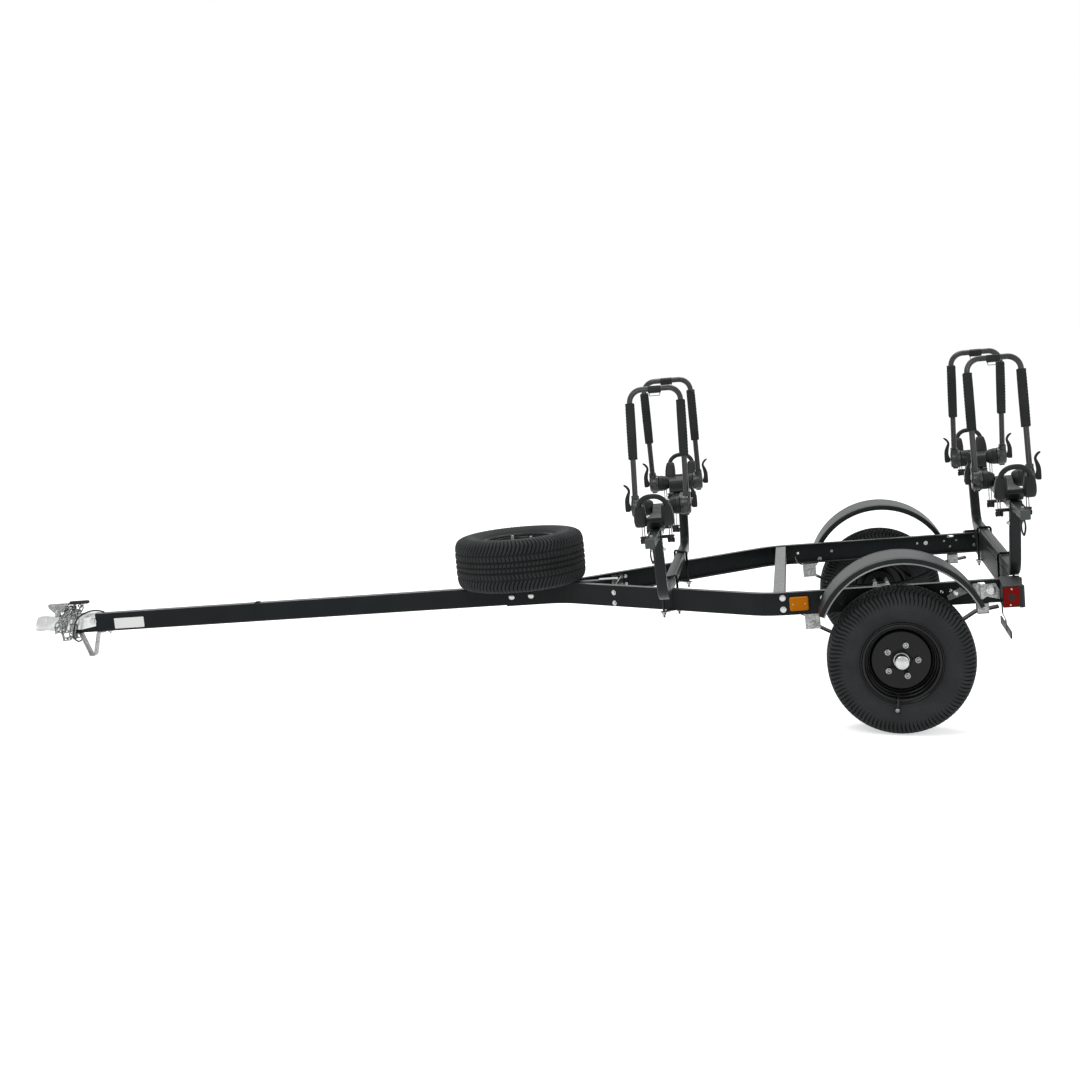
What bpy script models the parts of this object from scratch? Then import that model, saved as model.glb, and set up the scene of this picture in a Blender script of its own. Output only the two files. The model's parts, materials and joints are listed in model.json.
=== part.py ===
"""Two-kayak trailer, parked nose-down on its tongue stand.

Chassis frame: X to the rear, Y to the right, Z up, origin at the middle of the axle.
Everything is modelled level in that frame and hangs on one empty, which tilts the
trailer until both tyres and the foot of the stand touch the ground at Z = 0.
"""
import math

import bmesh
import bpy
from mathutils import Matrix, Vector

# Fits and gaps
GAP = 0.0003
RUN_GAP = 0.0008
STUD_GAP = 0.0013
WELD = 0.0010

# Running gear
TYRE_R = 0.26035
TYRE_W = 0.205
TYRE_SEGMENTS = 24
TRACK_HALF = 0.742
RIM_FLANGE_R = 0.1445
RIM_HALF_W = 0.084
BEAD_R = 0.129
RIM_T = 0.0030
RIM_WELL_R = 0.110
RIM_FIT = 0.0005
RIM_BORE_GAP = 0.0020
DISC_FACE = 0.030
DISC_T = 0.0035
LUG_CIRCLE_R = 0.05715
LUG_COUNT = 5
STUD_R = 0.006
NUT_R = 0.0110
HUB_SEGMENTS = 12
HUB_R = 0.0315
HUB_FLANGE_R = 0.0690
CAP_R = 0.0225
AXLE_SIZE = 0.038
AXLE_WALL = 0.004
SPINDLE_R = 0.0125
SPINDLE_LEN = 0.142
SPRING_INSET = 0.025
SPRING_W = 0.045
LEAF_T = 0.0063
FRONT_EYE = Vector((-0.2973, 0.0, 0.1194))
EYE_R = 0.0145
BOX_HANGER_X = 0.306
BOX_HANGER_LEN = 0.040
BOX_HANGER_LOW = 0.1160
LEAF_TAIL_X = 0.362
EYE_END_X = -0.270
EYE_BOLT_R = 0.0075
LEAF_BOND = 0.0003
SHORT_LEAVES = (0.16, 0.23)
SPRING_CAMBER_FRONT = 0.922
SPRING_CAMBER_REAR = 1.384
SPRING_FLAT = 0.036
SPRING_TAIL_X = 0.280
SPRING_TAIL_SLOPE = 0.16
SPRING_PAD_T = 0.0053
CLAMP_PLATE_T = 0.006
HANGER_T = 0.003

# Frame
TONGUE_W = 0.0508
TONGUE_H = 0.0762
TONGUE_WALL = 0.003
TONGUE_FRONT_X = -3.400
TONGUE_REAR_X = -1.112
FRAME_Z = 0.195
RAIL_T = 0.003
RAIL_FLANGE = 0.024
WHEEL_TO_RAIL = 0.138
RAIL_FRONT_X = -1.522
RAIL_REAR_X = 0.445
RAIL_BEND_FRONT_X = -1.290
RAIL_BEND_REAR_X = -0.460
RAIL_BEND_R = 0.200
MID_MEMBER_X = -0.413
MID_MEMBER_W = 0.041
MID_MEMBER_H = 0.058
REAR_MEMBER_W = 0.038
REAR_MEMBER_H = 0.0893
BRACE_X = -1.062
BRACE_H = 0.062
BRACE_T = 0.0032

RAIL_HOLE_R = 0.0055
RAIL_HOLES = ((0.164, 0.009), (0.196, 0.010), (0.277, 0.011), (0.3275, 0.011), (0.300, -0.0135))
RAIL_SLOT_X = 0.303
RAIL_SLOT_HALF = 0.009
RAIL_SLOT_Z = 0.0285

# Load bars and crossbars
FRONT_BAR_X = -0.828
REAR_BAR_X = 0.420
BAR_SIZE = 0.0381
BAR_WALL = 0.0025
BAR_OUTREACH = 0.032
POST_LEAN = math.radians(20.0)
BAR_BEND_R = 0.090
CROSSBAR_RISE = 0.249
CROSSBAR_SIZE = 0.03175
CROSSBAR_WALL = 0.0020
CROSSBAR_HALF = 0.996
EAR_RISE = -0.003
POST_BOLT_R = 0.004
LOOP_INSET = 0.066
CAP_LIP = 0.0012
CAP_LEN = 0.005
UROD_R = 0.00475
UBOLT_REACH = 0.0268
UBOLT_SKEW = 0.030
REAR_UBOLT_Y = 0.351
UBOLT_BEND_R = 0.009
STRAP_PLATE_T = 0.004

# Fenders
FENDER_R = 0.307
FENDER_X = 0.007
FENDER_Z = 0.068
FENDER_INSET = 0.110
FENDER_W = 0.229
FENDER_LIP = 0.020
FENDER_T = 0.002
FENDER_HALF_ARC = math.radians(66.5)
FENDER_TAB_Z = 0.200
FENDER_TAB_H = 0.054

# Lights
MARKER_X = -0.342
MARKER_W = 0.071
MARKER_H = 0.052
MARKER_D = 0.016
TAIL_X0 = 0.366
TAIL_X1 = 0.440
TAIL_REACH = 0.096
TAIL_Z0 = 0.150
TAIL_Z1 = 0.226
TAIL_SLOPE = 0.010
TAIL_LENS_T = 0.0055
PLATE_STRAP_INSET = 0.019
PLATE_BAR_OUT = 0.125
PLATE_BAR_IN = 0.175

# Tongue end
LEVER_PIVOT = Vector((-3.470, 0.0, 0.2520))
LEVER_REST_Z = 0.2840
LEVER_PIN_R = 0.004
LUG_HALF = 0.0075
COUPLER_T = 0.0030
COUPLER_REAR_X = -3.291
STAND_DEPTH = 0.104
STAND_X = -3.331
STAND_W = 0.028
STAND_T = 0.0055
SPARE_X = -1.4535
SPARE_LIFT = 0.004
SPARE_MOUNT_T = 0.005
SPARE_MOUNT_W = 0.130

# Safety chain and wiring lead
CHAIN_WIRE_R = 0.0027
CHAIN_LINK_R = 0.0075
CHAIN_STRAIGHT = 0.0170
CHAIN_BEAR = 0.0004
CHAIN_TURNS = 1.60
CHAIN_START = 0.8
CHAIN_X0 = -3.452
CHAIN_X1 = -3.372
CHAIN_RAKE = 0.25
CHAIN_HALF_W = 0.0440
CHAIN_HALF_H = 0.0590
CHAIN_Z = 0.1895
WIRE_R = 0.0035

# J cradles
CRADLE_SPAN = 0.327
HINGE_RISE = 0.058
KNUCKLE_R = 0.036
LEG_HALF = 0.0965
ARM_TUBE_R = 0.0095
ARM_LEN = 0.452
ARM_TOP_R = 0.048
ARM_LEAN = math.radians(14.0)
PAD_LOW = 0.186
PAD_LEN = 0.212
PAD_W = 0.035
PAD_SIDES = 8
LOW_ARCH_LEAN = math.radians(25.0)
LOW_ARCH_PAST_POST = 0.0154
LOW_ARCH_HALF = 0.049
LOW_ARCH_TUBE_R = 0.008
LOW_ARCH_TOP = 0.128
LEVER_OFFSET = 0.1245
HUB_DISC_X = 0.0730
KNUCKLE_X = 0.1115
HUB_DISC_R = 0.032
SPINE_HALF = 0.030
LOBE_TOP = 0.078
HINGE_CLAMP_STEP = 0.007
ARCH_CLAMP_STEP = 0.058
CLAMP_HALF = 0.062
CLAMP_T = 0.006
CLAMP_BOLT_X = 0.049
CLAMP_BOLT_R = 0.003
KNOB_R = 0.0105
KNOB_H = 0.013

# Colours
BLACK_COAT = ((0.012, 0.012, 0.013, 1.0), 0.35, 0.0)
GLOSS_BLACK = ((0.010, 0.010, 0.011, 1.0), 0.18, 0.0)
ZINC = ((0.62, 0.62, 0.60, 1.0), 0.38, 1.0)
RUBBER = ((0.020, 0.020, 0.021, 1.0), 0.80, 0.0)
FOAM = ((0.028, 0.028, 0.030, 1.0), 0.90, 0.0)
PLASTIC = ((0.022, 0.023, 0.024, 1.0), 0.55, 0.0)
AMBER = ((0.80, 0.30, 0.02, 1.0), 0.20, 0.0)
RED = ((0.55, 0.02, 0.02, 1.0), 0.20, 0.0)
WEBBING = ((0.015, 0.015, 0.016, 1.0), 0.85, 0.0)

for old in list(bpy.data.objects):
    bpy.data.objects.remove(old, do_unlink=True)


# Values worked out from the sizes above
RAIL_OUTER_Y = TRACK_HALF - WHEEL_TO_RAIL
SPRING_Y = RAIL_OUTER_Y - SPRING_INSET
SPINDLE_IN = TRACK_HALF - SPINDLE_LEN
FENDER_IN_Y = TRACK_HALF - FENDER_INSET
TAIL_Y1 = RAIL_OUTER_Y + TAIL_REACH
PLATE_BRACKET_Y = PLATE_STRAP_INSET - RAIL_OUTER_Y
PLATE_BAR_Y0 = PLATE_BRACKET_Y - PLATE_BAR_OUT
PLATE_BAR_Y1 = PLATE_BRACKET_Y + PLATE_BAR_IN
BAR_CORNER_Y = RAIL_OUTER_Y + BAR_OUTREACH
POST_TOP_Y = BAR_CORNER_Y + CROSSBAR_RISE * math.tan(POST_LEAN)
LOW_ARCH_Y = POST_TOP_Y + LOW_ARCH_PAST_POST
HINGE_Y = LOW_ARCH_Y - CRADLE_SPAN
CLAMP_Y = (HINGE_Y + HINGE_CLAMP_STEP, LOW_ARCH_Y - ARCH_CLAMP_STEP)
LOOP_Y = CROSSBAR_HALF - LOOP_INSET
RAIL_H = TONGUE_H + 2 * (RAIL_T + GAP)
RAIL_TOP = FRAME_Z + RAIL_H / 2
RAIL_BOTTOM = FRAME_Z - RAIL_H / 2
TONGUE_TOP = FRAME_Z + TONGUE_H / 2
TONGUE_BOTTOM = FRAME_Z - TONGUE_H / 2
RAIL_INNER_START_Y = TONGUE_W / 2 + GAP + RAIL_T
RAIL_SLOPE = (RAIL_OUTER_Y - RAIL_INNER_START_Y) / (RAIL_BEND_REAR_X - RAIL_BEND_FRONT_X)
FRONT_BAR_Z = RAIL_TOP + GAP + BAR_SIZE / 2
REAR_MEMBER_TOP = RAIL_BOTTOM + RAIL_T + GAP + REAR_MEMBER_H
REAR_BAR_Z = REAR_MEMBER_TOP + GAP + BAR_SIZE / 2
SPRING_SEAT_Z = AXLE_SIZE / 2 + SPRING_PAD_T
BARS = (("front", FRONT_BAR_X, FRONT_BAR_Z), ("rear", REAR_BAR_X, REAR_BAR_Z))
WIRE_ROUTE = (
    (-3.258, -0.006, TONGUE_TOP + WIRE_R + GAP), (-3.285, -0.016, 0.2470), (-3.318, -0.040, 0.2470), (-3.352, -0.064, 0.2280),
    (-3.372, -0.069, 0.1900), (-3.382, -0.062, 0.1480), (-3.380, -0.034, 0.1240), (-3.384, 0.012, 0.1200),
    (-3.390, 0.048, 0.1350), (-3.398, 0.0680, 0.1600), (-3.400, 0.0700, 0.1950),
)


def solve_tilt():
    """Nose-down tilt that puts the stand's foot on the wheels' ground plane."""
    foot_z = TONGUE_BOTTOM - STAND_DEPTH
    reach = math.hypot(STAND_X, foot_z)
    wheel = TYRE_R * math.cos(math.pi / TYRE_SEGMENTS)
    return math.asin(-wheel / reach) - math.atan2(foot_z, -STAND_X)


TILT = solve_tilt()

chassis = bpy.data.objects.new("chassis", None)
bpy.context.collection.objects.link(chassis)
chassis.rotation_euler = (0.0, TILT, 0.0)


def material(name, look):
    """A Principled material from a colour, a roughness and a metallic value."""
    found = bpy.data.materials.get(name)
    if found:
        return found
    made = bpy.data.materials.new(name)
    made.use_nodes = True
    shader = made.node_tree.nodes["Principled BSDF"]
    shader.inputs["Base Color"].default_value = look[0]
    shader.inputs["Roughness"].default_value = look[1]
    shader.inputs["Metallic"].default_value = look[2]
    return made


def make(name, bm, slot, look, parent=chassis, at=(0, 0, 0), mirror=False, turn=None):
    """Close a bmesh into a named object on its parent. Shells that meet are welded into one body."""
    if mirror:
        bmesh.ops.scale(bm, vec=(1, -1, 1), verts=bm.verts)
    if turn:
        bmesh.ops.transform(bm, matrix=turn, verts=bm.verts)
    bmesh.ops.recalc_face_normals(bm, faces=bm.faces)
    bm.faces.index_update()
    shells = islands(bm)
    rest = bm.copy() if len(shells) > 1 else None
    if rest:
        rest.faces.ensure_lookup_table()
        first = {face.index for face in shells[0]}
        bmesh.ops.delete(rest, geom=[rest.faces[i] for i in sorted(first)], context="FACES")
        others = [face for shell in shells[1:] for face in shell]
        bmesh.ops.delete(bm, geom=others, context="FACES")
    mesh = bpy.data.meshes.new(name)
    bm.to_mesh(mesh)
    bm.free()
    mesh.shade_smooth()
    mesh.set_sharp_from_angle(angle=math.radians(35))
    mesh.materials.append(material(slot, look))
    obj = bpy.data.objects.new(name, mesh)
    bpy.context.collection.objects.link(obj)
    obj.parent = parent
    obj.location = at
    if rest:
        cut(obj, rest, name + "_weld", "UNION")
    return obj


def cut(obj, bm, name, operation="DIFFERENCE"):
    """Subtract or add a helper shape, given in the object's own coordinates."""
    bmesh.ops.recalc_face_normals(bm, faces=bm.faces)
    mesh = bpy.data.meshes.new(name)
    bm.to_mesh(mesh)
    bm.free()
    mesh.shade_smooth()
    mesh.set_sharp_from_angle(angle=math.radians(35))
    tool = bpy.data.objects.new(name, mesh)
    bpy.context.collection.objects.link(tool)
    tool.parent = obj.parent
    tool.location = obj.location
    tool.hide_render = True
    tool.display_type = "WIRE"
    modifier = obj.modifiers.new(name, "BOOLEAN")
    modifier.operation = operation
    modifier.solver = "EXACT"
    modifier.use_self = True
    modifier.object = tool


def box(bm, x, y, z):
    """An axis-aligned box between pairs of x, y and z."""
    points = [bm.verts.new((a, b, c)) for a in x for b in y for c in z]
    for loop in ((0, 1, 3, 2), (4, 6, 7, 5), (0, 4, 5, 1), (2, 3, 7, 6), (0, 2, 6, 4), (1, 5, 7, 3)):
        bm.faces.new([points[i] for i in loop])


def prism(bm, outline, axis, start, end):
    """Push a closed outline along an axis. The outline's two numbers are the other two axes in order."""
    def spot(pair, along):
        values = list(pair)
        values.insert("XYZ".index(axis), along)
        return values
    ends = [[bm.verts.new(spot(pair, along)) for pair in outline] for along in (start, end)]
    count = len(outline)
    for i in range(count):
        j = (i + 1) % count
        bm.faces.new((ends[0][i], ends[0][j], ends[1][j], ends[1][i]))
    bm.faces.new(ends[0])
    bm.faces.new(ends[1])


def lathe(bm, profile, axis, centre, segments, phase=0.0):
    """Turn a closed (along, radius) profile about an axis through a centre."""
    order = {"X": (0, 1, 2), "Y": (1, 2, 0), "Z": (2, 0, 1)}[axis]
    rings = []
    for k in range(segments):
        angle = phase + 2 * math.pi * k / segments
        ring = []
        for along, radius in profile:
            if radius == 0.0 and rings:
                ring.append(rings[0][len(ring)])
                continue
            point = [0.0, 0.0, 0.0]
            point[order[0]] = centre[order[0]] + along
            point[order[1]] = centre[order[1]] + radius * math.cos(angle)
            point[order[2]] = centre[order[2]] + radius * math.sin(angle)
            ring.append(bm.verts.new(point))
        rings.append(ring)
    count = len(profile)
    for k in range(segments):
        here, there = rings[k], rings[(k + 1) % segments]
        for i in range(count):
            j = (i + 1) % count
            corners = []
            for vert in (here[i], here[j], there[j], there[i]):
                if vert not in corners:
                    corners.append(vert)
            if len(corners) > 2:
                bm.faces.new(corners)


def rod(bm, start, end, radius, sides):
    """A plain round bar between two points."""
    sweep(bm, [start, end], ring_section(radius, sides))


def ring_section(radius, sides):
    """A round section, turned so that flats lie level."""
    step = 2 * math.pi / sides
    return [(radius * math.cos(step * (i + 0.5)), radius * math.sin(step * (i + 0.5))) for i in range(sides)]


def rect_section(width, height, corner=0.0):
    """A rectangular section with bevelled corners."""
    w, h, c = width / 2, height / 2, corner
    if not c:
        return [(-w, -h), (w, -h), (w, h), (-w, h)]
    return [(-w + c, -h), (w - c, -h), (w, -h + c), (w, h - c), (w - c, h), (-w + c, h), (-w, h - c), (-w, -h + c)]


def sweep(bm, path, section, side=None, inner=None, closed=False):
    """Carry a section along a flat path, mitred at each point.

    side is the direction, square to the path's plane, that the section's first number runs along.
    inner is a second section that hollows the first.
    """
    path = [Vector(point) for point in path]
    count = len(path)
    steps = []
    for i in range(count if closed else count - 1):
        steps.append((path[(i + 1) % count] - path[i]).normalized())
    if side is None:
        lead = steps[0]
        side = Vector((0, 0, 1)).cross(lead)
        if side.length < 0.1:
            side = Vector((1, 0, 0))
    side = Vector(side).normalized()
    shells = [section] if inner is None else [section, inner]
    rings = [[] for _ in shells]
    for i, point in enumerate(path):
        before = steps[i - 1] if (i > 0 or closed) else steps[0]
        after = steps[i] if i < len(steps) else steps[-1]
        mean = (before + after).normalized()
        up = mean.cross(side).normalized()
        stretch = 1.0 / max(mean.dot(after), 0.2)
        for shell, ring in zip(shells, rings):
            made = [bm.verts.new(point + side * a + up * (b * stretch)) for a, b in shell]
            ring.append(made)
    for ring in rings:
        sides = len(ring[0])
        for i in range(len(steps)):
            here, there = ring[i], ring[(i + 1) % count]
            for k in range(sides):
                m = (k + 1) % sides
                bm.faces.new((here[k], here[m], there[m], there[k]))
    if closed:
        return
    for end in (0, -1):
        if inner is None:
            bm.faces.new(rings[0][end])
            continue
        outer_ring, inner_ring = rings[0][end], rings[1][end]
        sides = len(outer_ring)
        for k in range(sides):
            m = (k + 1) % sides
            bm.faces.new((outer_ring[k], outer_ring[m], inner_ring[m], inner_ring[k]))


def rounded(path, radius, steps=4):
    """Replace each inner corner of a path by an arc."""
    path = [Vector(point) for point in path]
    result = [path[0]]
    for before, corner, after in zip(path, path[1:], path[2:]):
        a = (before - corner).normalized()
        b = (after - corner).normalized()
        half = a.angle(b) / 2
        reach = radius / math.tan(half)
        centre = corner + (a + b).normalized() * (radius / math.sin(half))
        first = corner + a * reach - centre
        second = corner + b * reach - centre
        sweep_angle = first.angle(second)
        for k in range(steps + 1):
            t = k / steps
            weight_a = math.sin((1 - t) * sweep_angle) / math.sin(sweep_angle)
            weight_b = math.sin(t * sweep_angle) / math.sin(sweep_angle)
            result.append(centre + first * weight_a + second * weight_b)
    result.append(path[-1])
    return result


def hex_nut(bm, at, direction, across, height):
    """A hexagonal nut or bolt head standing on a face."""
    radius = across / math.sqrt(3)
    at = Vector(at)
    end = at + Vector(direction).normalized() * height
    sweep(bm, [at, end], ring_section(radius, 6))


def stack(bm, sections, direction, sides):
    """A turned solid: rings of (centre, radius) in order along a direction."""
    helper = Vector((0, 0, 1)) if abs(direction.z) < 0.9 else Vector((1, 0, 0))
    a = direction.cross(helper).normalized()
    b = direction.cross(a).normalized()
    rings = []
    for centre, radius in sections:
        ring = []
        for k in range(sides):
            angle = 2 * math.pi * (k + 0.5) / sides
            ring.append(bm.verts.new(centre + a * radius * math.cos(angle) + b * radius * math.sin(angle)))
        rings.append(ring)
    for here, there in zip(rings, rings[1:]):
        for k in range(sides):
            m = (k + 1) % sides
            bm.faces.new((here[k], here[m], there[m], there[k]))
    bm.faces.new(rings[0])
    bm.faces.new(rings[-1])


def rail_inside(x):
    """Inner face of a rail's web near its rear bend."""
    turn = math.atan(RAIL_SLOPE)
    bend_end = RAIL_BEND_REAR_X + RAIL_BEND_R * math.tan(turn / 2)
    depth = max(bend_end - x, 0.0)
    return RAIL_OUTER_Y - RAIL_T - depth * math.tan(turn / 6) - RUN_GAP


def rail_y(x):
    """Outer face of a rail on its slanted stretch."""
    return RAIL_INNER_START_Y + RAIL_SLOPE * (x - RAIL_BEND_FRONT_X)


def tongue():
    bm = bmesh.new()
    path = [(TONGUE_FRONT_X, 0, FRAME_Z), (TONGUE_REAR_X, 0, FRAME_Z)]
    outer = rect_section(TONGUE_W, TONGUE_H, 0.005)
    bore = rect_section(TONGUE_W - 2 * TONGUE_WALL, TONGUE_H - 2 * TONGUE_WALL, 0.003)
    sweep(bm, path, outer, side=(0, 1, 0), inner=bore)
    make("tongue_tube", bm, "chassis_black", BLACK_COAT)


def rail(side_name, sign):
    """Pressed channel, open inboard, with the two spring hangers welded under it."""
    h, t, f = RAIL_H / 2, RAIL_T, RAIL_FLANGE
    channel = [(h, 0), (h, -t - f), (h - t, -t - f), (h - t, -t), (-h + t, -t), (-h + t, -t - f), (-h, -t - f), (-h, 0)]
    path = [
        (RAIL_FRONT_X, RAIL_INNER_START_Y, FRAME_Z),
        (RAIL_BEND_FRONT_X, RAIL_INNER_START_Y, FRAME_Z),
        (RAIL_BEND_REAR_X, RAIL_OUTER_Y, FRAME_Z),
        (RAIL_REAR_X, RAIL_OUTER_Y, FRAME_Z),
    ]
    bm = bmesh.new()
    sweep(bm, rounded(path, RAIL_BEND_R, 3), channel, side=(0, 0, -1))
    spring_hangers(bm)
    made = make(side_name + "_rail", bm, "chassis_black", BLACK_COAT, mirror=sign < 0)
    holes = bmesh.new()
    reach = (sign * (RAIL_OUTER_Y - 0.010), sign * (RAIL_OUTER_Y + 0.005))
    for x, z in RAIL_HOLES:
        rod(holes, (x, reach[0], FRAME_Z + z), (x, reach[1], FRAME_Z + z), RAIL_HOLE_R, 6)
    outline = []
    for end, base in ((-1, 90), (1, -90)):
        for k in range(4):
            angle = math.radians(base + 60 * k)
            x = RAIL_SLOT_X + end * RAIL_SLOT_HALF + RAIL_HOLE_R * math.cos(angle)
            outline.append((x, FRAME_Z + RAIL_SLOT_Z + RAIL_HOLE_R * math.sin(angle)))
    prism(holes, outline, "Y", min(reach), max(reach))
    cut(made, holes, side_name + "_rail_holes")


def front_brace():
    """Bent plate between the rails, and the clip that holds the tongue's end to it."""
    bm = bmesh.new()
    inner = rail_y(BRACE_X) - (RAIL_T + GAP + BRACE_T / 2) * math.hypot(1, RAIL_SLOPE)
    tab = 0.045
    path = [
        (BRACE_X - tab, inner - tab * RAIL_SLOPE, FRAME_Z),
        (BRACE_X, inner, FRAME_Z),
        (BRACE_X, -inner, FRAME_Z),
        (BRACE_X - tab, -inner + tab * RAIL_SLOPE, FRAME_Z),
    ]
    sweep(bm, rounded(path, 0.008, 3), rect_section(BRACE_H, BRACE_T), side=(0, 0, 1))
    clip_z = TONGUE_TOP + GAP + BRACE_T / 2
    clip = [
        (TONGUE_REAR_X - 0.028, 0, clip_z),
        (BRACE_X - BRACE_T + WELD, 0, clip_z),
        (BRACE_X - BRACE_T + WELD, 0, FRAME_Z - 0.020),
    ]
    sweep(bm, rounded(clip, 0.006, 3), rect_section(0.044, BRACE_T), side=(0, 1, 0))
    make("front_brace", bm, "zinc", ZINC)


def cross_members():
    bm = bmesh.new()
    end = rail_inside(MID_MEMBER_X - MID_MEMBER_W / 2) - GAP
    top = RAIL_TOP - RAIL_T - GAP
    w, t = MID_MEMBER_W / 2, RAIL_T
    channel = [
        (MID_MEMBER_X - w, top - MID_MEMBER_H), (MID_MEMBER_X - w, top), (MID_MEMBER_X + w, top),
        (MID_MEMBER_X + w, top - MID_MEMBER_H), (MID_MEMBER_X + w - t, top - MID_MEMBER_H),
        (MID_MEMBER_X + w - t, top - t), (MID_MEMBER_X - w + t, top - t), (MID_MEMBER_X - w + t, top - MID_MEMBER_H),
    ]
    prism(bm, channel, "Y", -end + WELD, end - WELD)
    for sign in (-1, 1):
        inside = sorted((sign * end, sign * (end - RAIL_T)))
        span = (MID_MEMBER_X - w + 0.0005, MID_MEMBER_X + w - 0.0005)
        box(bm, span, inside, (top - MID_MEMBER_H + 0.0005, top - 0.0005))
    make("middle_cross_member", bm, "zinc", ZINC)
    bm = bmesh.new()
    x0 = REAR_BAR_X - REAR_MEMBER_W / 2
    x1 = REAR_BAR_X + REAR_MEMBER_W / 2
    z0, z1 = REAR_MEMBER_TOP - REAR_MEMBER_H, REAR_MEMBER_TOP
    channel = [(x0, z0), (x1, z0), (x1, z0 + t), (x0 + t, z0 + t), (x0 + t, z1 - t), (x1, z1 - t), (x1, z1), (x0, z1)]
    end = RAIL_OUTER_Y - RAIL_T - RAIL_FLANGE - RUN_GAP
    prism(bm, channel, "Y", -end, end)
    mid_z = (z0 + z1) / 2
    web_x = x0 + t / 2 + WELD
    side_y = RAIL_OUTER_Y - RAIL_T - GAP - t / 2
    for sign in (-1, 1):
        path = [(web_x, sign * (end - 0.030), mid_z), (web_x, sign * side_y, mid_z), (x1 - 0.002, sign * side_y, mid_z)]
        sweep(bm, rounded(path, 0.005, 3), rect_section(0.060, t), side=(0, 0, 1))
    make("rear_cross_member", bm, "chassis_black", BLACK_COAT)


def axle():
    """Square tube with welded spring seats and a spindle pressed into each end."""
    bm = bmesh.new()
    outer = rect_section(AXLE_SIZE, AXLE_SIZE, 0.004)
    bore = rect_section(AXLE_SIZE - 2 * AXLE_WALL, AXLE_SIZE - 2 * AXLE_WALL, 0.002)
    sweep(bm, [(0, -SPINDLE_IN, 0), (0, SPINDLE_IN, 0)], outer, side=(1, 0, 0), inner=bore)
    plug = AXLE_SIZE / 2 - AXLE_WALL / 2
    for sign in (-1, 1):
        profile = [
            (sign * (SPINDLE_IN - 0.060), 0.0), (sign * (SPINDLE_IN - 0.060), plug), (sign * (SPINDLE_IN + 0.006), plug),
            (sign * (SPINDLE_IN + 0.010), SPINDLE_R), (sign * (TRACK_HALF + 0.045), SPINDLE_R),
            (sign * (TRACK_HALF + 0.045), 0.0),
        ]
        lathe(bm, profile, "Y", (0, 0, 0), 8)
        y = sign * SPRING_Y
        half = AXLE_SIZE / 2 - 0.0006
        box(bm, (-half, half), (y - SPRING_W / 2, y + SPRING_W / 2), (AXLE_SIZE / 2 - WELD, SPRING_SEAT_Z - GAP))
    made = make("axle", bm, "chassis_black", BLACK_COAT)
    vent = bmesh.new()
    rod(vent, (0, 0, -AXLE_SIZE), (0, 0, 0), 0.004, 6)
    cut(made, vent, "axle_vent")


def spring_curve(x, offset):
    """Centre height of a leaf at x, offset along the stack at the axle."""
    camber = SPRING_CAMBER_FRONT if x < 0 else SPRING_CAMBER_REAR
    bent = max(abs(min(x, SPRING_TAIL_X)) - SPRING_FLAT, 0.0)
    tail = max(x - SPRING_TAIL_X, 0.0) * SPRING_TAIL_SLOPE
    return SPRING_SEAT_Z + offset + camber * bent * bent + tail


def leaf_stations(start, end, steps):
    """Places along a leaf, with none between the two ends of its clamped flat."""
    front = [start + (-SPRING_FLAT - start) * k / steps for k in range(steps + 1)]
    return front + [SPRING_FLAT + (end - SPRING_FLAT) * k / steps for k in range(steps + 1)]


def spring_hangers(bm):
    """Front hanger with its eye bolt, and the box that the spring's tail slides in."""
    inner = SPRING_W / 2 + RUN_GAP
    t = HANGER_T
    top = RAIL_BOTTOM + WELD
    y = SPRING_Y
    low = FRONT_EYE.z - 0.021
    outline = [
        (y - inner - t, low), (y - inner - t, top), (y + inner + t, top), (y + inner + t, low),
        (y + inner, low), (y + inner, top - t), (y - inner, top - t), (y - inner, low),
    ]
    prism(bm, outline, "X", FRONT_EYE.x - 0.027, FRONT_EYE.x + 0.027)
    reach = inner + t + 0.006
    rod(bm, (FRONT_EYE.x, y - reach, FRONT_EYE.z), (FRONT_EYE.x, y + reach, FRONT_EYE.z), EYE_BOLT_R, 6)
    x0 = BOX_HANGER_X - BOX_HANGER_LEN / 2
    mid = (BOX_HANGER_LOW + top) / 2
    height = top - BOX_HANGER_LOW
    path = [(x0, y, mid), (x0 + BOX_HANGER_LEN, y, mid)]
    outer = rect_section(2 * (inner + t), height)
    sweep(bm, path, outer, side=(0, 1, 0), inner=rect_section(2 * inner, height - 2 * t))


def tyre_profile():
    """Closed section of the tyre: tread, shoulder, sidewall, bead and inside."""
    bead = BEAD_R + RIM_FIT
    half = [
        (0.050, TYRE_R), (0.081, TYRE_R - 0.0055), (0.0980, TYRE_R - 0.034), (TYRE_W / 2, TYRE_R - 0.065),
        (RIM_HALF_W - 0.0050, RIM_FLANGE_R + 0.003), (RIM_HALF_W - 0.0050, bead), (0.0640, bead), (0.0860, 0.2150),
    ]
    return half + [(-a, r) for a, r in reversed(half)]


def tyre_solid(bm, centre, axis):
    lathe(bm, tyre_profile(), axis, centre, TYRE_SEGMENTS, phase=math.pi / TYRE_SEGMENTS)


def rim_profile(outward):
    """Closed section of the pressed rim with its disc, outboard side towards outward."""
    hw, f, t = RIM_HALF_W, RIM_FLANGE_R, RIM_T
    well = RIM_WELL_R
    hub = HUB_R + RIM_BORE_GAP
    back = DISC_FACE - DISC_T
    outer = [
        (-hw, f), (-hw + 0.0040, f), (-hw + 0.0040, BEAD_R), (-0.050, well),
        (0.012, well), (hw - 0.0040, BEAD_R), (hw - 0.0040, f), (hw, f),
    ]
    face = [
        (hw, BEAD_R - t), (0.0115, 0.1030), (DISC_FACE, 0.0860), (DISC_FACE, hub), (back, hub), (back, 0.0850),
        (0.0085, 0.1010), (0.0085, well - t), (-0.0485, well - t), (-hw, BEAD_R - t),
    ]
    return [(outward * a, r) for a, r in outer + face]


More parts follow.
